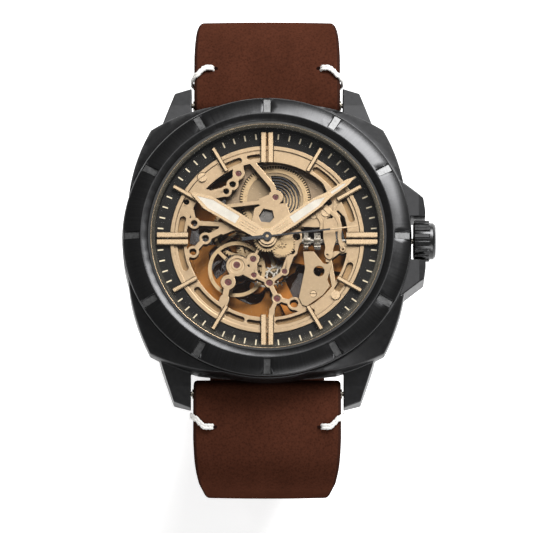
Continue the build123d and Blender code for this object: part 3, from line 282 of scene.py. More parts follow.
def ruby():
    """Dark red stones; the balance's stone sits in a wide gilt setting."""
    n = Nodes("ruby")
    tone = n.ramp(n.noise(n.coords, 500.0), [(0.3, 0.8), (0.7, 1.1)])
    _, radius = polar_coords(n, BALANCE)
    outside_stone = n.math("GREATER_THAN", radius, 0.52 * MM)
    setting = n.math("MULTIPLY", outside_stone, n.math("LESS_THAN", radius, 1.6 * MM))
    # Painted shade: a thin ring of darker gold in the setting stands in for the shade in its groove.
    groove_shade = n.math("COMPARE", radius, 0.84 * MM, 0.06 * MM)
    gilt = n.mix(groove_shade, GOLD_BRIGHT, GOLD_SHADED)
    base = n.mix(1.0, n.mix(setting, (0.11, 0.009, 0.006), gilt), tone, "MULTIPLY")
    return n.finish(Base_Color=base, Metallic=setting, Roughness=n.math("MULTIPLY_ADD", setting, 0.12, 0.18))


give("jewels", ruby())


def needle():
    """Dark along its length, champagne beyond a set distance from the centre."""
    n = Nodes("seconds_needle")
    _, radius = polar_coords(n)
    far = n.math("GREATER_THAN", radius, 9.45 * MM)
    near = n.math("LESS_THAN", radius, 0.22 * MM)
    grain = n.ramp(n.noise(n.coords, 1200.0), [(0.3, 0.85), (0.7, 1.1)])
    colour = n.mix(n.math("MAXIMUM", far, near), (0.045, 0.045, 0.047), GOLD_BRIGHT)
    return n.finish(Base_Color=n.mix(1.0, colour, grain, "MULTIPLY"), Metallic=1.0, Roughness=0.3)


give("seconds_hand", needle())


def clear_glass(name, edge_in, rim_glint_alpha, body_alpha, tint):
    """Thin clear glass; only the rim beyond edge_in shows much, with a cream colour and more opacity as a
    painted reflection of the polished edge's glint.
    """
    n = Nodes(name)
    _, radius = polar_coords(n)
    rim = n.math("GREATER_THAN", radius, edge_in * MM)
    streak = n.noise(n.coords, 900.0, 2.0, 0.5)
    alpha = n.math("MULTIPLY_ADD", rim, rim_glint_alpha, body_alpha)
    # Painted reflection: the rim's cream colour and higher opacity stand in for the glint on the polished
    # edge.
    base = n.mix(rim, tint, (0.8, 0.72, 0.56))
    roughness = n.math("MULTIPLY_ADD", streak, 0.02, 0.01)
    return n.finish(Base_Color=base, Roughness=roughness, Alpha=alpha, Metallic=0.0)


CRYSTAL_RIM = 16.72
BACK_GLASS_RIM = 13.2
give("crystal", clear_glass("crystal_glass", CRYSTAL_RIM, 0.04, 0.004, (0.85, 0.88, 0.9)))
give("case_back_glass", clear_glass("back_glass", BACK_GLASS_RIM, 0.1, 0.8, (0.1, 0.036, 0.01)))


def soften(names, width, segments=2, degrees=32):
    """Breaks a CAD node's sharp edges by a hair, so that they catch the light."""
    for name in names.split():
        obj = NODES[name]
        weld = obj.modifiers.new("join_faces", "WELD")
        weld.merge_threshold = 0.0000008
        bevel = obj.modifiers.new("soft_edges", "BEVEL")
        bevel.width = width * MM
        bevel.segments = segments
        bevel.limit_method = "ANGLE"
        bevel.angle_limit = math.radians(degrees)
        bevel.use_clamp_overlap = False
        bevel.harden_normals = True


soften("dial_plate", 0.07)
soften("main_plate keyless_plates cover_plate barrel_cover", 0.05)
soften("bezel", 0.1)
soften("case_body", 0.16)
soften("case_back crown", 0.08)
soften("buckle_frame buckle_prong", 0.18, 3)
soften("rotor train_bridge barrel_bridge balance_cock", 0.05)


def linked_mesh(name, bm):
    """Turns a finished bmesh into an object in the scene."""
    mesh = bpy.data.meshes.new(name)
    bm.to_mesh(mesh)
    bm.free()
    obj = bpy.data.objects.new(name, mesh)
    bpy.context.scene.collection.objects.link(obj)
    return obj


def flange_line():
    """The thin gold ring printed round the flange's upper edge."""
    bm = bmesh.new()
    count, radius, z = 256, 17.3, 10.49
    rings = []
    for i in range(count):
        a = 2 * math.pi * i / count
        ring = []
        for k in range(6):
            b = 2 * math.pi * k / 6
            r = radius + 0.06 * math.cos(b)
            up = (z - 0.02 + 0.03 * math.sin(b)) * MM
            ring.append(bm.verts.new((r * MM * math.cos(a), r * MM * math.sin(a), up)))
        rings.append(ring)
    for a, b in zip(rings, rings[1:] + rings[:1]):
        for k in range(6):
            bm.faces.new((a[k], a[(k + 1) % 6], b[(k + 1) % 6], b[k]))
    bmesh.ops.recalc_face_normals(bm, faces=bm.faces)
    obj = linked_mesh("flange_line", bm)
    for face in obj.data.polygons:
        face.use_smooth = True
    obj.data.materials.append(marker_gold)
    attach(obj, "watch_case")


flange_line()


# ---------------------------------------------------------------- fine movement detail
def polar_xy(radius, degrees, at=(0, 0)):
    a = math.radians(degrees)
    return (at[0] + radius * math.cos(a), at[1] + radius * math.sin(a))


def rounded(points, radius, steps=4):
    """A closed outline with its corners rounded."""
    out = []
    count = len(points)
    for i in range(count):
        a, b, c = (Vector(points[(i + k) % count]) for k in (-1, 0, 1))
        u, v = a - b, c - b
        cut = min(radius, u.length * 0.45, v.length * 0.45)
        p, q = b + u.normalized() * cut, b + v.normalized() * cut
        for k in range(steps + 1):
            t = k / steps
            out.append(tuple((p * (1 - t) + b * t) * (1 - t) + (b * (1 - t) + q * t) * t))
    return out


def circle_points(at, radius, count=28):
    return [polar_xy(radius, 360 * i / count, at) for i in range(count)]


def arm_outline(points, width):
    """The outline of a curved arm of even width with round ends, through a few points."""
    path = []
    pts = [Vector(p) for p in points]
    padded = [pts[0] * 2 - pts[1]] + pts + [pts[-1] * 2 - pts[-2]]
    for i in range(1, len(padded) - 2):
        for k in range(6):
            t = k / 6
            a, b, c, d = padded[i - 1 : i + 3]
            square, cube = 2 * a - 5 * b + 4 * c - d, 3 * b - a - 3 * c + d
            path.append(0.5 * (2 * b + (c - a) * t + square * t * t + cube * t**3))
    path.append(pts[-1])
    left, right = [], []
    for i, p in enumerate(path):
        d = (path[min(i + 1, len(path) - 1)] - path[max(i - 1, 0)]).normalized()
        n = Vector((-d.y, d.x)) * (width / 2)
        left.append(tuple(p + n))
        right.append(tuple(p - n))
    return left + right[::-1]


def flat_piece(name, outlines, z0, z1, mat, body="watch_case", soft=0.05):
    """Plates cut from sheet: each outline is (outer points, [hole points, ...])."""
    curve = bpy.data.curves.new(name, "CURVE")
    curve.dimensions = "2D"
    curve.fill_mode = "BOTH"
    curve.bevel_depth = soft * MM
    curve.bevel_resolution = 2
    curve.offset = -soft * MM
    for outer, inner in outlines:
        for ring in [outer] + list(inner):
            spline = curve.splines.new("POLY")
            spline.points.add(len(ring) - 1)
            for point, (x, y) in zip(spline.points, ring):
                point.co = (x * MM, y * MM, 0, 1)
            spline.use_cyclic_u = True
    holder = bpy.data.objects.new(name + "_curve", curve)
    bpy.context.scene.collection.objects.link(holder)
    holder.location.z = (z0 + z1) / 2 * MM
    curve.extrude = max((z1 - z0) / 2 - soft, 0.01) * MM
    bpy.context.view_layer.update()
    mesh = bpy.data.meshes.new_from_object(holder.evaluated_get(bpy.context.evaluated_depsgraph_get()))
    mesh.transform(holder.matrix_world)
    bpy.data.objects.remove(holder)
    mesh.name = name
    obj = bpy.data.objects.new(name, mesh)
    bpy.context.scene.collection.objects.link(obj)
    mesh.materials.clear()
    mesh.materials.append(mat)
    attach(obj, body)
    return obj


teeth = []
for i in range(BARREL_TEETH):
    for part, r in ((0.0, 4.86), (0.15, 5.27), (0.5, 5.27), (0.65, 4.86)):
        teeth.append(polar_xy(r, 360 * (i + part) / BARREL_TEETH, BARREL))
# Painted shade: a dark bronze ring under the barrel's teeth, standing in for the shade in the gaps between
# them.
gap_shade = satin_metal("gap_shade", (0.05, 0.034, 0.022), 0.4)
gap_shade_ring = (circle_points(BARREL, 5.36, 72), [circle_points(BARREL, 4.8, 72)])
flat_piece("barrel_gap_shade", [gap_shade_ring], 6.18, 6.215, gap_shade, "watch_case", 0.005)
rim_ring = (teeth, [circle_points(BARREL, 4.2, 64)])
flat_piece("barrel_toothed_rim", [rim_ring], 6.21, 6.33, wheel_gold, "barrel", 0.01)
sector = [polar_xy(7.4, a, BARREL) for a in range(-25, 196, 5)]
sector += [polar_xy(5.3, a, BARREL) for a in range(195, -26, -5)]
recess = brushed_circular("recess_taupe", (0.24, 0.175, 0.115), 0.36, 0.2, BARREL)
flat_piece("barrel_recess", [(sector, [])], 6.2, 6.34, recess)

window_dark = satin_metal("window_dark", (0.13, 0.12, 0.11), 0.3, (1, 1, 1), 700.0, 0.9, (0.4, 1.6))
flat_piece("window_floor", [(circle_points((-0.25, 3.5), 1.45), [])], 7.47, 7.52, window_dark)

LEVER_COVER = [
    (8.36, 3.0), (10.0, 3.2), (10.1, 1.5), (10.3, -0.3), (9.85, -1.6), (9.8, -2.9),
    (9.36, -3.3), (8.8, -3.1), (8.4, -2.4), (8.66, -1.4), (8.3, 0.1),
]
OUTER_ARM = [(8.6, 5.2), (9.4, 4.2), (10.4, 3.3), (10.85, 1.9), (10.75, 0.3), (11.0, -0.8), (11.3, -1.5)]
INNER_ARM = [(7.7, 5.6), (7.2, 4.4), (7.6, 3.4), (8.1, 2.4), (8.0, 1.2)]
ARM_BOSS = (11.25, -1.6)
lever_cover = rounded(LEVER_COVER, 0.35)
flat_piece("lever_cover", [(lever_cover, [circle_points((8.95, -2.55), 0.16, 16)])], 8.5, 8.72, dial_gold)
flat_piece("outer_arm", [(arm_outline(OUTER_ARM, 0.62), [])], 8.28, 8.5, dial_gold)
boss = (circle_points(ARM_BOSS, 0.45), [circle_points(ARM_BOSS, 0.18, 16)])
flat_piece("outer_arm_boss", [boss], 8.28, 8.56, dial_gold)
flat_piece("inner_arm", [(arm_outline(INNER_ARM, 0.5), [])], 8.5, 8.68, dial_gold)


# ---------------------------------------------------------------- leather strap
BAR = Vector((0, 22.4, 2.8))
LOOP_R = 2.1
STRAP_START = (22.4, 4.9)
ROUTE_12 = [(28.0, 21), (7.8, 65), (60.0, 14), (26.0, 34), (17.0, 46), (None, 8.0)]
ROUTE_6 = [(24.0, 23), (6.2, 70), (85.0, 14), (75.0, 22), (24.0, 40), (60.0, 24)]
SIDE_TAPER = [
    (11.0, 8.0), (11.0, 3.8), (10.75, 2.0), (10.35, -0.5), (10.0, -3.6),
    (9.68, -8.0), (9.4, -15.0), (9.1, -30.0), (9.0, -62.0),
]
TAIL_HOLES = 7
TAIL_HOLE_PITCH = 6.0
LAST_HOLE_TO_TIP = 11.0
STITCH_HOLE = 5.4
STITCH_EDGE = 3.7
THICK = 2.0
FOLD = 1.1


def half_width(z):
    """The strap's half width at a height, by its side taper."""
    for (w0, z0), (w1, z1) in zip(SIDE_TAPER, SIDE_TAPER[1:]):
        if z >= z1:
            t = min(max((z0 - z) / (z0 - z1), 0.0), 1.0)
            return w0 + (w1 - w0) * t
    return SIDE_TAPER[-1][0]


def route_stations(route, step):
    """Points along the outer face as (y, z, heading in radians, distance), about step apart."""
    y, z = STRAP_START
    heading, gone = 0.0, 0.0
    found = [(y, z, heading, gone)]
    for radius, amount in route:
        length = amount if radius is None else radius * math.radians(amount)
        count = max(3, round(length / step))
        y0, z0, a = y, z, heading
        for i in range(1, count + 1):
            part = length * i / count
            if radius is None:
                y, z = y0 + part * math.cos(a), z0 + part * math.sin(a)
                b = a
            else:
                b = a - part / radius
                cy, cz = y0 + radius * math.sin(a), z0 - radius * math.cos(a)
                y, z = cy - radius * math.sin(b), cz + radius * math.cos(b)
            found.append((y, z, b, gone + part))
        heading = b
        gone += length
    return found


def inward(station, depth):
    y, z, b, _ = station
    return (y + math.sin(b) * depth, z - math.cos(b) * depth)


def ease(t):
    t = min(max(t, 0.0), 1.0)
    return t * t * (3 - 2 * t)


def section_points(w, outer, inner, corner, crown):
    """A rounded strip's section as (x, share from outer to inner), in millimetres across."""
    t = math.hypot(inner[0] - outer[0], inner[1] - outer[1])
    r = min(corner, t * 0.42, w * 0.9)
    crown *= min(t / 2.0, 1.0)
    points = []
    across = 14
    for i in range(across + 1):
        x = (w - r) * (-1 + 2 * i / across)
        points.append((x, crown * (x / w) ** 2, 0))
    for i in range(1, 6):
        a = math.pi / 2 * i / 5
        points.append((w - r + r * math.sin(a), crown + r * (1 - math.cos(a)), 1))
    for i in range(0, 6):
        a = math.pi / 2 * i / 5
        points.append((w - r + r * math.cos(a), t - r + r * math.sin(a), 1))
    for i in range(1, across + 1):
        points.append(((w - r) * (1 - 2 * i / across), t, 0))
    for i in range(1, 6):
        a = math.pi / 2 * i / 5
        points.append((-(w - r) - r * math.sin(a), t - r + r * math.cos(a), 1))
    for i in range(0, 5):
        a = math.pi / 2 * i / 5
        points.append((-(w - r) - r * math.cos(a), crown + r * (1 - math.sin(a)), 1))
    return points, t


def strip_mesh(name, pairs, widths, corner=0.6, crown=0.12, sign=1):
    """A closed strip through (outer point, inner point) pairs in (y, z), with rounded edges."""
    bm = bmesh.new()
    edge_layer = bm.verts.layers.float.new("edge")
    rings = []
    for (outer, inner), w in zip(pairs, widths):
        points, t = section_points(w, outer, inner, corner, crown)
        dy, dz = (inner[0] - outer[0]) / t, (inner[1] - outer[1]) / t
        loop = []
        for x, depth, side in points:
            v = bm.verts.new((x * MM, (outer[0] + dy * depth) * MM * sign, (outer[1] + dz * depth) * MM))
            v[edge_layer] = side
            loop.append(v)
        rings.append(loop)
    for a, b in zip(rings, rings[1:]):
        for i in range(len(a)):
            j = (i + 1) % len(a)
            bm.faces.new((a[i], a[j], b[j], b[i]))
    bm.faces.new(rings[0][::-1])
    bm.faces.new(rings[-1])
    bmesh.ops.recalc_face_normals(bm, faces=bm.faces)
    if bm.calc_volume(signed=True) < 0:
        bmesh.ops.reverse_faces(bm, faces=bm.faces)
    obj = linked_mesh(name, bm)
    return obj


def cut_with(obj, cutters):
    """Cuts other meshes out of obj and leaves plain mesh data."""
    for cutter in cutters:
        mod = obj.modifiers.new("cut", "BOOLEAN")
        mod.operation = "DIFFERENCE"
        mod.solver = "EXACT"
        mod.object = cutter
    bake(obj)
    for cutter in cutters:
        bpy.data.objects.remove(cutter)


def bake(obj):
    """Applies the modifiers."""
    dg = bpy.context.evaluated_depsgraph_get()
    mesh = bpy.data.meshes.new_from_object(obj.evaluated_get(dg))
    obj.modifiers.clear()
    obj.data = mesh


def smooth(obj, degrees=38):
    for face in obj.data.polygons:
        face.use_smooth = True
    obj.data.set_sharp_from_angle(angle=math.radians(degrees))


def capsule_prism(name, x_half, y0, y1, frame_at, depth, count=10):
    """A slot shape with round ends, as a solid to cut with; frame_at is its placing matrix."""
    bm = bmesh.new()
    outline = []
    for i in range(count + 1):
        a = math.pi * i / count
        outline.append((x_half * math.cos(a), y1 - x_half + x_half * math.sin(a)))
    for i in range(count + 1):
        a = math.pi + math.pi * i / count
        outline.append((x_half * math.cos(a), y0 + x_half + x_half * math.sin(a)))
    low = [bm.verts.new((x * MM, y * MM, -depth * MM)) for x, y in outline]
    high = [bm.verts.new((x * MM, y * MM, depth * MM)) for x, y in outline]
    for i in range(len(low)):
        j = (i + 1) % len(low)
        bm.faces.new((low[i], low[j], high[j], high[i]))
    bm.faces.new(low[::-1])
    bm.faces.new(high)
    bmesh.ops.recalc_face_normals(bm, faces=bm.faces)
    obj = linked_mesh(name, bm)
    obj.matrix_world = frame_at
    return obj


def leather(name, colour):
    """Dark oiled leather: fine pores and creases, clouded colour, burnished dark edges; painted light makes
    the colour lighter higher up and darker lower down, painted shade darkens the creases, and the pores'
    lighter dots are partly painted highlights.
    """
    n = Nodes(name)
    pores = n.voronoi(n.coords, 2600.0).outputs["Distance"]
    wander = n.scaled((0.0008, 0.0008, 0.0008), n.noise(n.coords, 900.0))
    bent = n.vector("ADD", n.coords, wander).outputs[0]
    creases = n.voronoi(bent, 1300.0, "DISTANCE_TO_EDGE").outputs["Distance"]
    crease = n.ramp(creases, [(0.0, 0.0), (0.12, 1.0)])
    cloud = n.noise(n.coords, 75.0, 4.0, 0.6)
    streak = n.noise(n.scaled((1.0, 0.35, 0.35)), 260.0, 4.0, 0.6)
    blend = n.math("ADD", n.math("MULTIPLY", cloud, 0.6), n.math("MULTIPLY", streak, 0.4))
    tone = n.ramp(blend, [(0.3, 0.78), (0.7, 1.24)])
    base = n.mix(1.0, colour, tone, "MULTIPLY")
    height_mm = n.math("MULTIPLY", n.split(n.coords)[2], 1000.0)
    # Painted light and shade: colour is lighter higher up, near the lugs, and darker lower down.
    painted_height_light = n.ramp(n.math("MULTIPLY_ADD", height_mm, 1 / 30, 0.8), [(0.0, 0.5), (1.0, 1.45)])
    base = n.mix(1.0, base, painted_height_light, "MULTIPLY")
    # Pore tone: partly the grain's own colour, partly painted highlight, as its lighter dots stand in for
    # glints on the grain.
    fine = n.ramp(pores, [(0.1, 0.68), (0.55, 1.16)])
    base = n.mix(0.7, base, fine, "MULTIPLY")
    # Painted shade: the crease lines of the grain are darkened in colour.
    base = n.mix(n.math("MULTIPLY", n.math("SUBTRACT", 1.0, crease), 0.22), base, (0.02, 0.009, 0.007))
    edge = n.tree.nodes.new("ShaderNodeAttribute")
    edge.attribute_name = "edge"
    rubbed = n.ramp(edge.outputs["Fac"], [(0.5, 0.0), (1.0, 1.0)])
    base = n.mix(n.math("MULTIPLY", rubbed, 0.65), base, (0.022, 0.011, 0.009))
    height = n.math("ADD", n.math("MULTIPLY", pores, 0.5), n.math("MULTIPLY", crease, 0.5))
    normal = n.bump(height, 0.5, 0.00005)
    normal = n.bump(cloud, 0.12, 0.0006, normal)
    roughness = n.math("MULTIPLY_ADD", streak, 0.16, 0.36)
    return n.finish(
        Base_Color=base,
        Roughness=roughness,
        Normal=normal,
        Specular_IOR_Level=0.0,
    )


strap_leather = leather("strap_leather", (0.047, 0.0155, 0.0088))


def lug_end(stations, fold_len):
    """Pairs from the fold's end, back under the strap, round the spring bar and onto its outer face."""
    pairs = []
    under = [s for s in stations if s[3] <= fold_len]
    for s in reversed(under):
        if s[3] > 2.6:
            lift = 1.0 - ease((fold_len - s[3]) / 1.2)
            pairs.append((inward(s, THICK + FOLD - 0.7 * lift), inward(s, THICK + 0.02)))
    for a in range(300, 89, -15):
        c, q = math.cos(math.radians(a)), math.sin(math.radians(a))
        pairs.append(((BAR[1] + LOOP_R * c, BAR[2] + LOOP_R * q), (BAR[1] + 0.8 * c, BAR[2] + 0.8 * q)))
    return pairs


def make_strap(route, sign, fold_len):
    """A strap half's (outer, inner) pairs, half widths and stations; the lower half ends in a round tip."""
    stations = route_stations(route, 0.8)
    pairs = lug_end(stations, fold_len)
    widths = [half_width(min(p[0][1], 3.5)) for p in pairs]
    total = stations[-1][3]
    for s in stations[1:]:
        t = 1.3 + (THICK - 1.3) * ease(s[3] / 3.0)
        w = half_width(s[1])
        left = total - s[3]
        if sign < 0:
            if left < 8.0:
                w *= math.sqrt(max(1 - ((8.0 - left) / 8.0) ** 2, 0.0))
            if left < 0.3:
                continue
        pairs.append((inward(s, 0.0), inward(s, t)))
        widths.append(w)
    if sign < 0:
        y, z, b, _ = stations[-1]
        for d in (0.28, 0.12, 0.03):
            s = (y - math.cos(b) * d, z - math.sin(b) * d, b, total - d)
            pairs.append((inward(s, 0.25 - d * 0.5), inward(s, THICK - 0.25 + d * 0.5)))
            widths.append(9.0 * math.sqrt(1 - ((8.0 - d) / 8.0) ** 2))
    return pairs, widths, stations


pairs_12, widths_12, stations_12 = make_strap(ROUTE_12, 1, 10.2)
END_Y, END_Z = stations_12[-1][0], stations_12[-1][1]
BUCKLE = (END_Y, END_Z + THICK / 2)
while pairs_12[-1][0][0] < END_Y + 3.2:
    pairs_12.pop()
    widths_12.pop()
for d in (3.0, 2.2, 1.5, 0.8, 0.0, -0.4, -0.7, -0.95, -1.12, -1.22, -1.27):
    half = 1.0 + 0.28 * ease((3.2 - d) / 2.6) if d > 0 else math.sqrt(1.28**2 - d * d)
    y = END_Y + d
    pairs_12.append(((y, BUCKLE[1] - half), (y, BUCKLE[1] + half)))
    widths_12.append(9.1)
strap_12 = strip_mesh("strap_half_12", pairs_12, widths_12)
slot_at = Matrix.Translation(Vector((0, BUCKLE[0], BUCKLE[1])) * MM)
cut_with(strap_12, [capsule_prism("prong_slot", 1.5, -4.0, 3.6, slot_at, 4.0)])
smooth(strap_12)
strap_12.data.materials.append(strap_leather)
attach(strap_12, "strap_upper")
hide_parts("strap_12")

pairs_6, widths_6, stations_6 = make_strap(ROUTE_6, -1, 9.6)
strap_6 = strip_mesh("strap_half_6", pairs_6, widths_6, sign=-1)
holes = []
total_6 = stations_6[-1][3]
for i in range(TAIL_HOLES):
    want = total_6 - LAST_HOLE_TO_TIP - i * TAIL_HOLE_PITCH
    s = min(stations_6, key=lambda q: abs(q[3] - want))
    y, z = inward(s, THICK / 2)
    turn = Matrix.Rotation(-s[2], 4, "X")
    at = Matrix.Translation(Vector((0, -y, z)) * MM) @ turn
    holes.append(capsule_prism(f"hole_{i}", 0.9, -0.9, 0.9, at, 2.2))
cut_with(strap_6, holes)
smooth(strap_6)
strap_6.data.materials.append(strap_leather)
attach(strap_6, "strap_lower")
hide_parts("strap_6")


def keeper_mesh(name, node, body):
    """A leather loop: a rounded band bent round a rounded rectangle."""
    low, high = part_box(node)
    low, high = low / MM, high / MM
    y0, y1 = low[1], high[1]
    wall, corner = 1.0, 1.7
    half = high[0]
    z0, z1 = low[2], high[2]
    if node == "keeper_fixed":
        z1 = END_Z + THICK + 0.12 + wall
    path = []
    corners = (
        (half - corner, z1 - corner, 0),
        (-half + corner, z1 - corner, 90),
        (-half + corner, z0 + corner, 180),
        (half - corner, z0 + corner, 270),
    )
    for cx, cz, start in corners:
        for i in range(7):
            a = math.radians(start + 15 * i)
            path.append((cx + corner * math.cos(a), cz + corner * math.sin(a), math.cos(a), math.sin(a)))
    full = []
    for i, p in enumerate(path):
        q = path[(i + 1) % len(path)]
        gap = math.hypot(q[0] - p[0], q[1] - p[1])
        cuts = max(1, round(gap / 1.2)) if (i + 1) % 7 == 0 else 1
        for k in range(cuts):
            t = k / cuts
            full.append(tuple(p[m] + (q[m] - p[m]) * t for m in range(4)))
    bm = bmesh.new()
    edge_layer = bm.verts.layers.float.new("edge")
    r, w = 0.34, (y1 - y0) / 2
    mid = (y0 + y1) / 2
    profile = [(-w + r, 0.02, 0), (-w * 0.4, -0.06, 0), (0, -0.08, 0)]
    profile += [(w * 0.4, -0.06, 0), (w - r, 0.02, 0)]
    for i in range(1, 5):
        a = math.pi / 2 * i / 5
        profile.append((w - r + r * math.sin(a), r * (1 - math.cos(a)), 1))
    profile += [(w, r, 1), (w, wall - r, 1), (w - r, wall, 1)]
    profile += [(-w + r, wall, 1), (-w, wall - r, 1), (-w, r, 1)]
    for i in range(4, 0, -1):
        a = math.pi / 2 * i / 5
        profile.append((-w + r - r * math.sin(a), r * (1 - math.cos(a)), 1))
    rings = []
    for x, z, nx, nz in full:
        loop = []
        for along, depth, side in profile:
            sunk = depth + 0.08
            v = bm.verts.new(((x - nx * sunk) * MM, (mid + along) * MM, (z - nz * sunk) * MM))
            v[edge_layer] = side
            loop.append(v)
        rings.append(loop)
    for a, b in zip(rings, rings[1:] + rings[:1]):
        for i in range(len(a)):
            j = (i + 1) % len(a)
            bm.faces.new((a[i], a[j], b[j], b[i]))
    bmesh.ops.recalc_face_normals(bm, faces=bm.faces)
    obj = linked_mesh(name, bm)
    smooth(obj)
    obj.data.materials.append(strap_leather)
    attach(obj, body)
    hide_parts(node)
    return obj


keeper_mesh("keeper_loop_fixed", "keeper_fixed", "strap_upper")
keeper_mesh("keeper_loop_free", "keeper_free", "loose_keeper")


def thread_material():
    """Waxed white thread, two plies twisted together."""
    n = Nodes("stitch_thread")
    twist = n.noise(n.scaled((1, 1, 1)), 5200.0, 2.0, 0.6)
    tone = n.ramp(twist, [(0.3, 0.84), (0.7, 1.05)])
    base = n.mix(1.0, (0.9, 0.885, 0.85), tone, "MULTIPLY")
    return n.finish(Base_Color=base, Roughness=0.62, Normal=n.bump(twist, 0.3, 0.00006))


def tube_along(bm, points, normals, wide, flat, twist_turns, phase):
    """A soft oval strand along a path; it swells and thins as its plies turn."""
    rings = []
    count = len(points)
    for i, p in enumerate(points):
        before = points[max(i - 1, 0)]
        after = points[min(i + 1, count - 1)]
        along = (after - before).normalized()
        up = (normals[i] - along * normals[i].dot(along)).normalized()
        side = along.cross(up)
        swell = 1.0 + 0.09 * math.sin(2 * math.pi * twist_turns * i / count + phase)
        ring = []
        for k in range(12):
            a = 2 * math.pi * k / 12
            around = side * wide * math.cos(a) + up * flat * math.sin(a)
            ring.append(bm.verts.new(p + around * swell))
        rings.append(ring)
    for a, b in zip(rings, rings[1:]):
        for k in range(12):
            j = (k + 1) % 12
            bm.faces.new((a[k], a[j], b[j], b[k]))
    bm.faces.new(rings[0][::-1])
    bm.faces.new(rings[-1])


def edge_stitch(name, route, sign, side, s_hole, s_edge, body, mat):
    """One saddle stitch: out of its hole, over the face, round the strap's edge and back in below."""
    stations = route_stations(route, 0.2)

    def at(distance):
        return min(stations, key=lambda q: abs(q[3] - distance))

    bm = bmesh.new()
    for strand in (-1, 1):
        points, normals = [], []
        steps = 30
        for i in range(steps + 1):
            t = i / steps
            s = at(s_hole + (s_edge - s_hole) * ease((t - 0.3) / 0.55) + strand * 0.2)
            w = half_width(s[1])
            face_end = 0.62
            r = 0.75
            if t < face_end:
                q = t / face_end
                x = 7.9 + (w - 0.55 - 7.9) * q
                lift = 0.24 * ease(q / 0.16) - 0.55 * (1 - ease(q / 0.16)) + 0.12 * math.sin(math.pi * q)
                depth = -lift
                nx, nd = 0.0, -1.0
            else:
                a = math.pi * (t - face_end) / (1 - face_end)
                cx, cd = w - 0.55, 1.55
                x = cx + (r + 0.12) * math.sin(a)
                depth = cd - 1.79 * math.cos(a)
                nx, nd = math.sin(a), -math.cos(a)
            y, z = inward(s, depth)
            b = s[2]
            points.append(Vector((side * x, sign * y, z)) * MM)
            normals.append(Vector((side * nx, sign * math.sin(b) * nd, -math.cos(b) * nd)).normalized())
        for i in range(4):
            s = at(s_edge + strand * 0.2)
            w = half_width(s[1])
            y, z = inward(s, 3.34 - 0.5 * i / 3)
            points.append(Vector((side * (w - 0.75 - 0.5 * i), sign * y, z)) * MM)
            normals.append(Vector((0, sign * math.sin(s[2]), -math.cos(s[2]))))
        tube_along(bm, points, normals, 0.24 * MM, 0.2 * MM, 9, strand)
    bmesh.ops.recalc_face_normals(bm, faces=bm.faces)
    obj = linked_mesh(name, bm)
    smooth(obj, 60)
    obj.data.materials.append(mat)
    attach(obj, body)
    return obj


def stitch_hole(name, route, sign, side, distance, body, mat):
    """A dark disc at the punched hole that a stitch goes into: painted shade standing in for the hole's dark
    inside.
    """
    s = min(route_stations(route, 0.2), key=lambda q: abs(q[3] - distance))
    bm = bmesh.new()
    rings = []
    for depth in (-0.02, 0.1):
        y, z = inward(s, depth)
        ring = []
        for k in range(14):
            a = 2 * math.pi * k / 14
            along = 0.3 * math.sin(a)
            x = side * (7.78 + 0.36 * math.cos(a))
            dy, dz = along * math.cos(s[2]), along * math.sin(s[2])
            ring.append(bm.verts.new(Vector((x, sign * (y + dy), z - dz)) * MM))
        rings.append(ring)
    bm.faces.new(rings[0])
    bm.faces.new(rings[1][::-1])
    for k in range(14):
        j = (k + 1) % 14
        bm.faces.new((rings[0][k], rings[1][k], rings[1][j], rings[0][j]))
    bmesh.ops.recalc_face_normals(bm, faces=bm.faces)
    obj = linked_mesh(name, bm)
    obj.data.materials.append(mat)
    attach(obj, body)


# Painted shade: dark discs put where the stitch holes' shaded insides would be.
hole_shade = plain_gloss("stitch_hole_dark", (0.012, 0.005, 0.004), 0.8, spec=0.0)
thread = thread_material()
for label, route, sign, body in (("12", ROUTE_12, 1, "strap_upper"), ("6", ROUTE_6, -1, "strap_lower")):
    for side, mark in ((-1, "left"), (1, "right")):
        stitch_hole(f"stitch_hole_{label}_{mark}", route, sign, side, STITCH_HOLE, body, hole_shade)
        edge_stitch(f"stitch_{label}_{mark}", route, sign, side, STITCH_HOLE, STITCH_EDGE, body, thread)


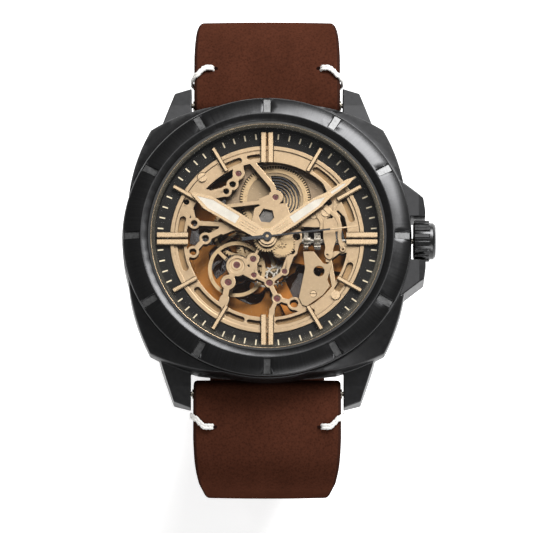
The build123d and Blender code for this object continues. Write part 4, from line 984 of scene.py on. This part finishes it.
# ---------------------------------------------------------------- camera and light
AIM = Vector((-0.1, -3.89, 7.12)) * MM
BACK = Vector((0, -0.2672, 0.9636)).normalized()
UP = Vector((0, 0.9636, 0.2672)).normalized()
DISTANCE = 1.0
SENSOR = 36
VIEW_WIDTH = 0.0794
DIAL_CENTRE = Vector((0, 0, 5))
camera_data = bpy.data.cameras.new("camera")
camera_data.lens = SENSOR * DISTANCE / VIEW_WIDTH
camera_data.sensor_width = SENSOR
camera_data.clip_start = 0.05
camera_data.clip_end = 20
camera = bpy.data.objects.new("camera", camera_data)
bpy.context.scene.collection.objects.link(camera)
right = UP.cross(BACK)
rotation = Matrix((right, UP, BACK)).transposed()
camera.matrix_world = Matrix.Translation(AIM + BACK * DISTANCE) @ rotation.to_4x4()
bpy.context.scene.camera = camera


def softbox(name, direction, distance, size, power):
    """A square area light turned to the dial."""
    data = bpy.data.lights.new(name, "AREA")
    data.shape = "SQUARE"
    data.size = size
    data.energy = power
    light = bpy.data.objects.new(name, data)
    bpy.context.scene.collection.objects.link(light)
    d = Vector(direction).normalized()
    light.location = DIAL_CENTRE * MM + d * distance
    light.rotation_euler = d.to_track_quat("Z", "Y").to_euler()


softbox("key_upper_right", (0.37, 0.63, 0.68), 0.8, 0.44, 9.0)
softbox("overhead", (0.05, 0.3, 0.95), 0.9, 0.36, 0.8)
softbox("left_fill", (-0.9, 0.1, 0.4), 0.9, 0.3, 0.05)
softbox("low_fill", (0.3, -0.8, 0.52), 0.9, 0.4, 2.6)
bpy.context.scene.view_settings.view_transform = "Standard"

world = bpy.data.worlds.new("studio")
world.use_nodes = True
world.node_tree.nodes["Background"].inputs[0].default_value = (1, 1, 1, 1)
world.node_tree.nodes["Background"].inputs[1].default_value = 0.2
bpy.context.scene.world = world


def floor_sheet():
    mesh = bpy.data.meshes.new("floor")
    half, z = 3.0, -0.0595
    corners = [(-half, -half, z), (half, -half, z), (half, half, z), (-half, half, z)]
    mesh.from_pydata(corners, [], [(0, 1, 2, 3)])
    obj = bpy.data.objects.new("floor", mesh)
    bpy.context.scene.collection.objects.link(obj)
    n = Nodes("floor_pale")
    tone = n.ramp(n.noise(n.coords, 30.0), [(0.3, 0.97), (0.7, 1.0)])
    pale = n.mix(1.0, (0.93, 0.93, 0.93), tone, "MULTIPLY")
    obj.data.materials.append(
        n.finish(Base_Color=pale, Roughness=0.9, Emission_Color=(1, 1, 1), Emission_Strength=0.62)
    )


floor_sheet()
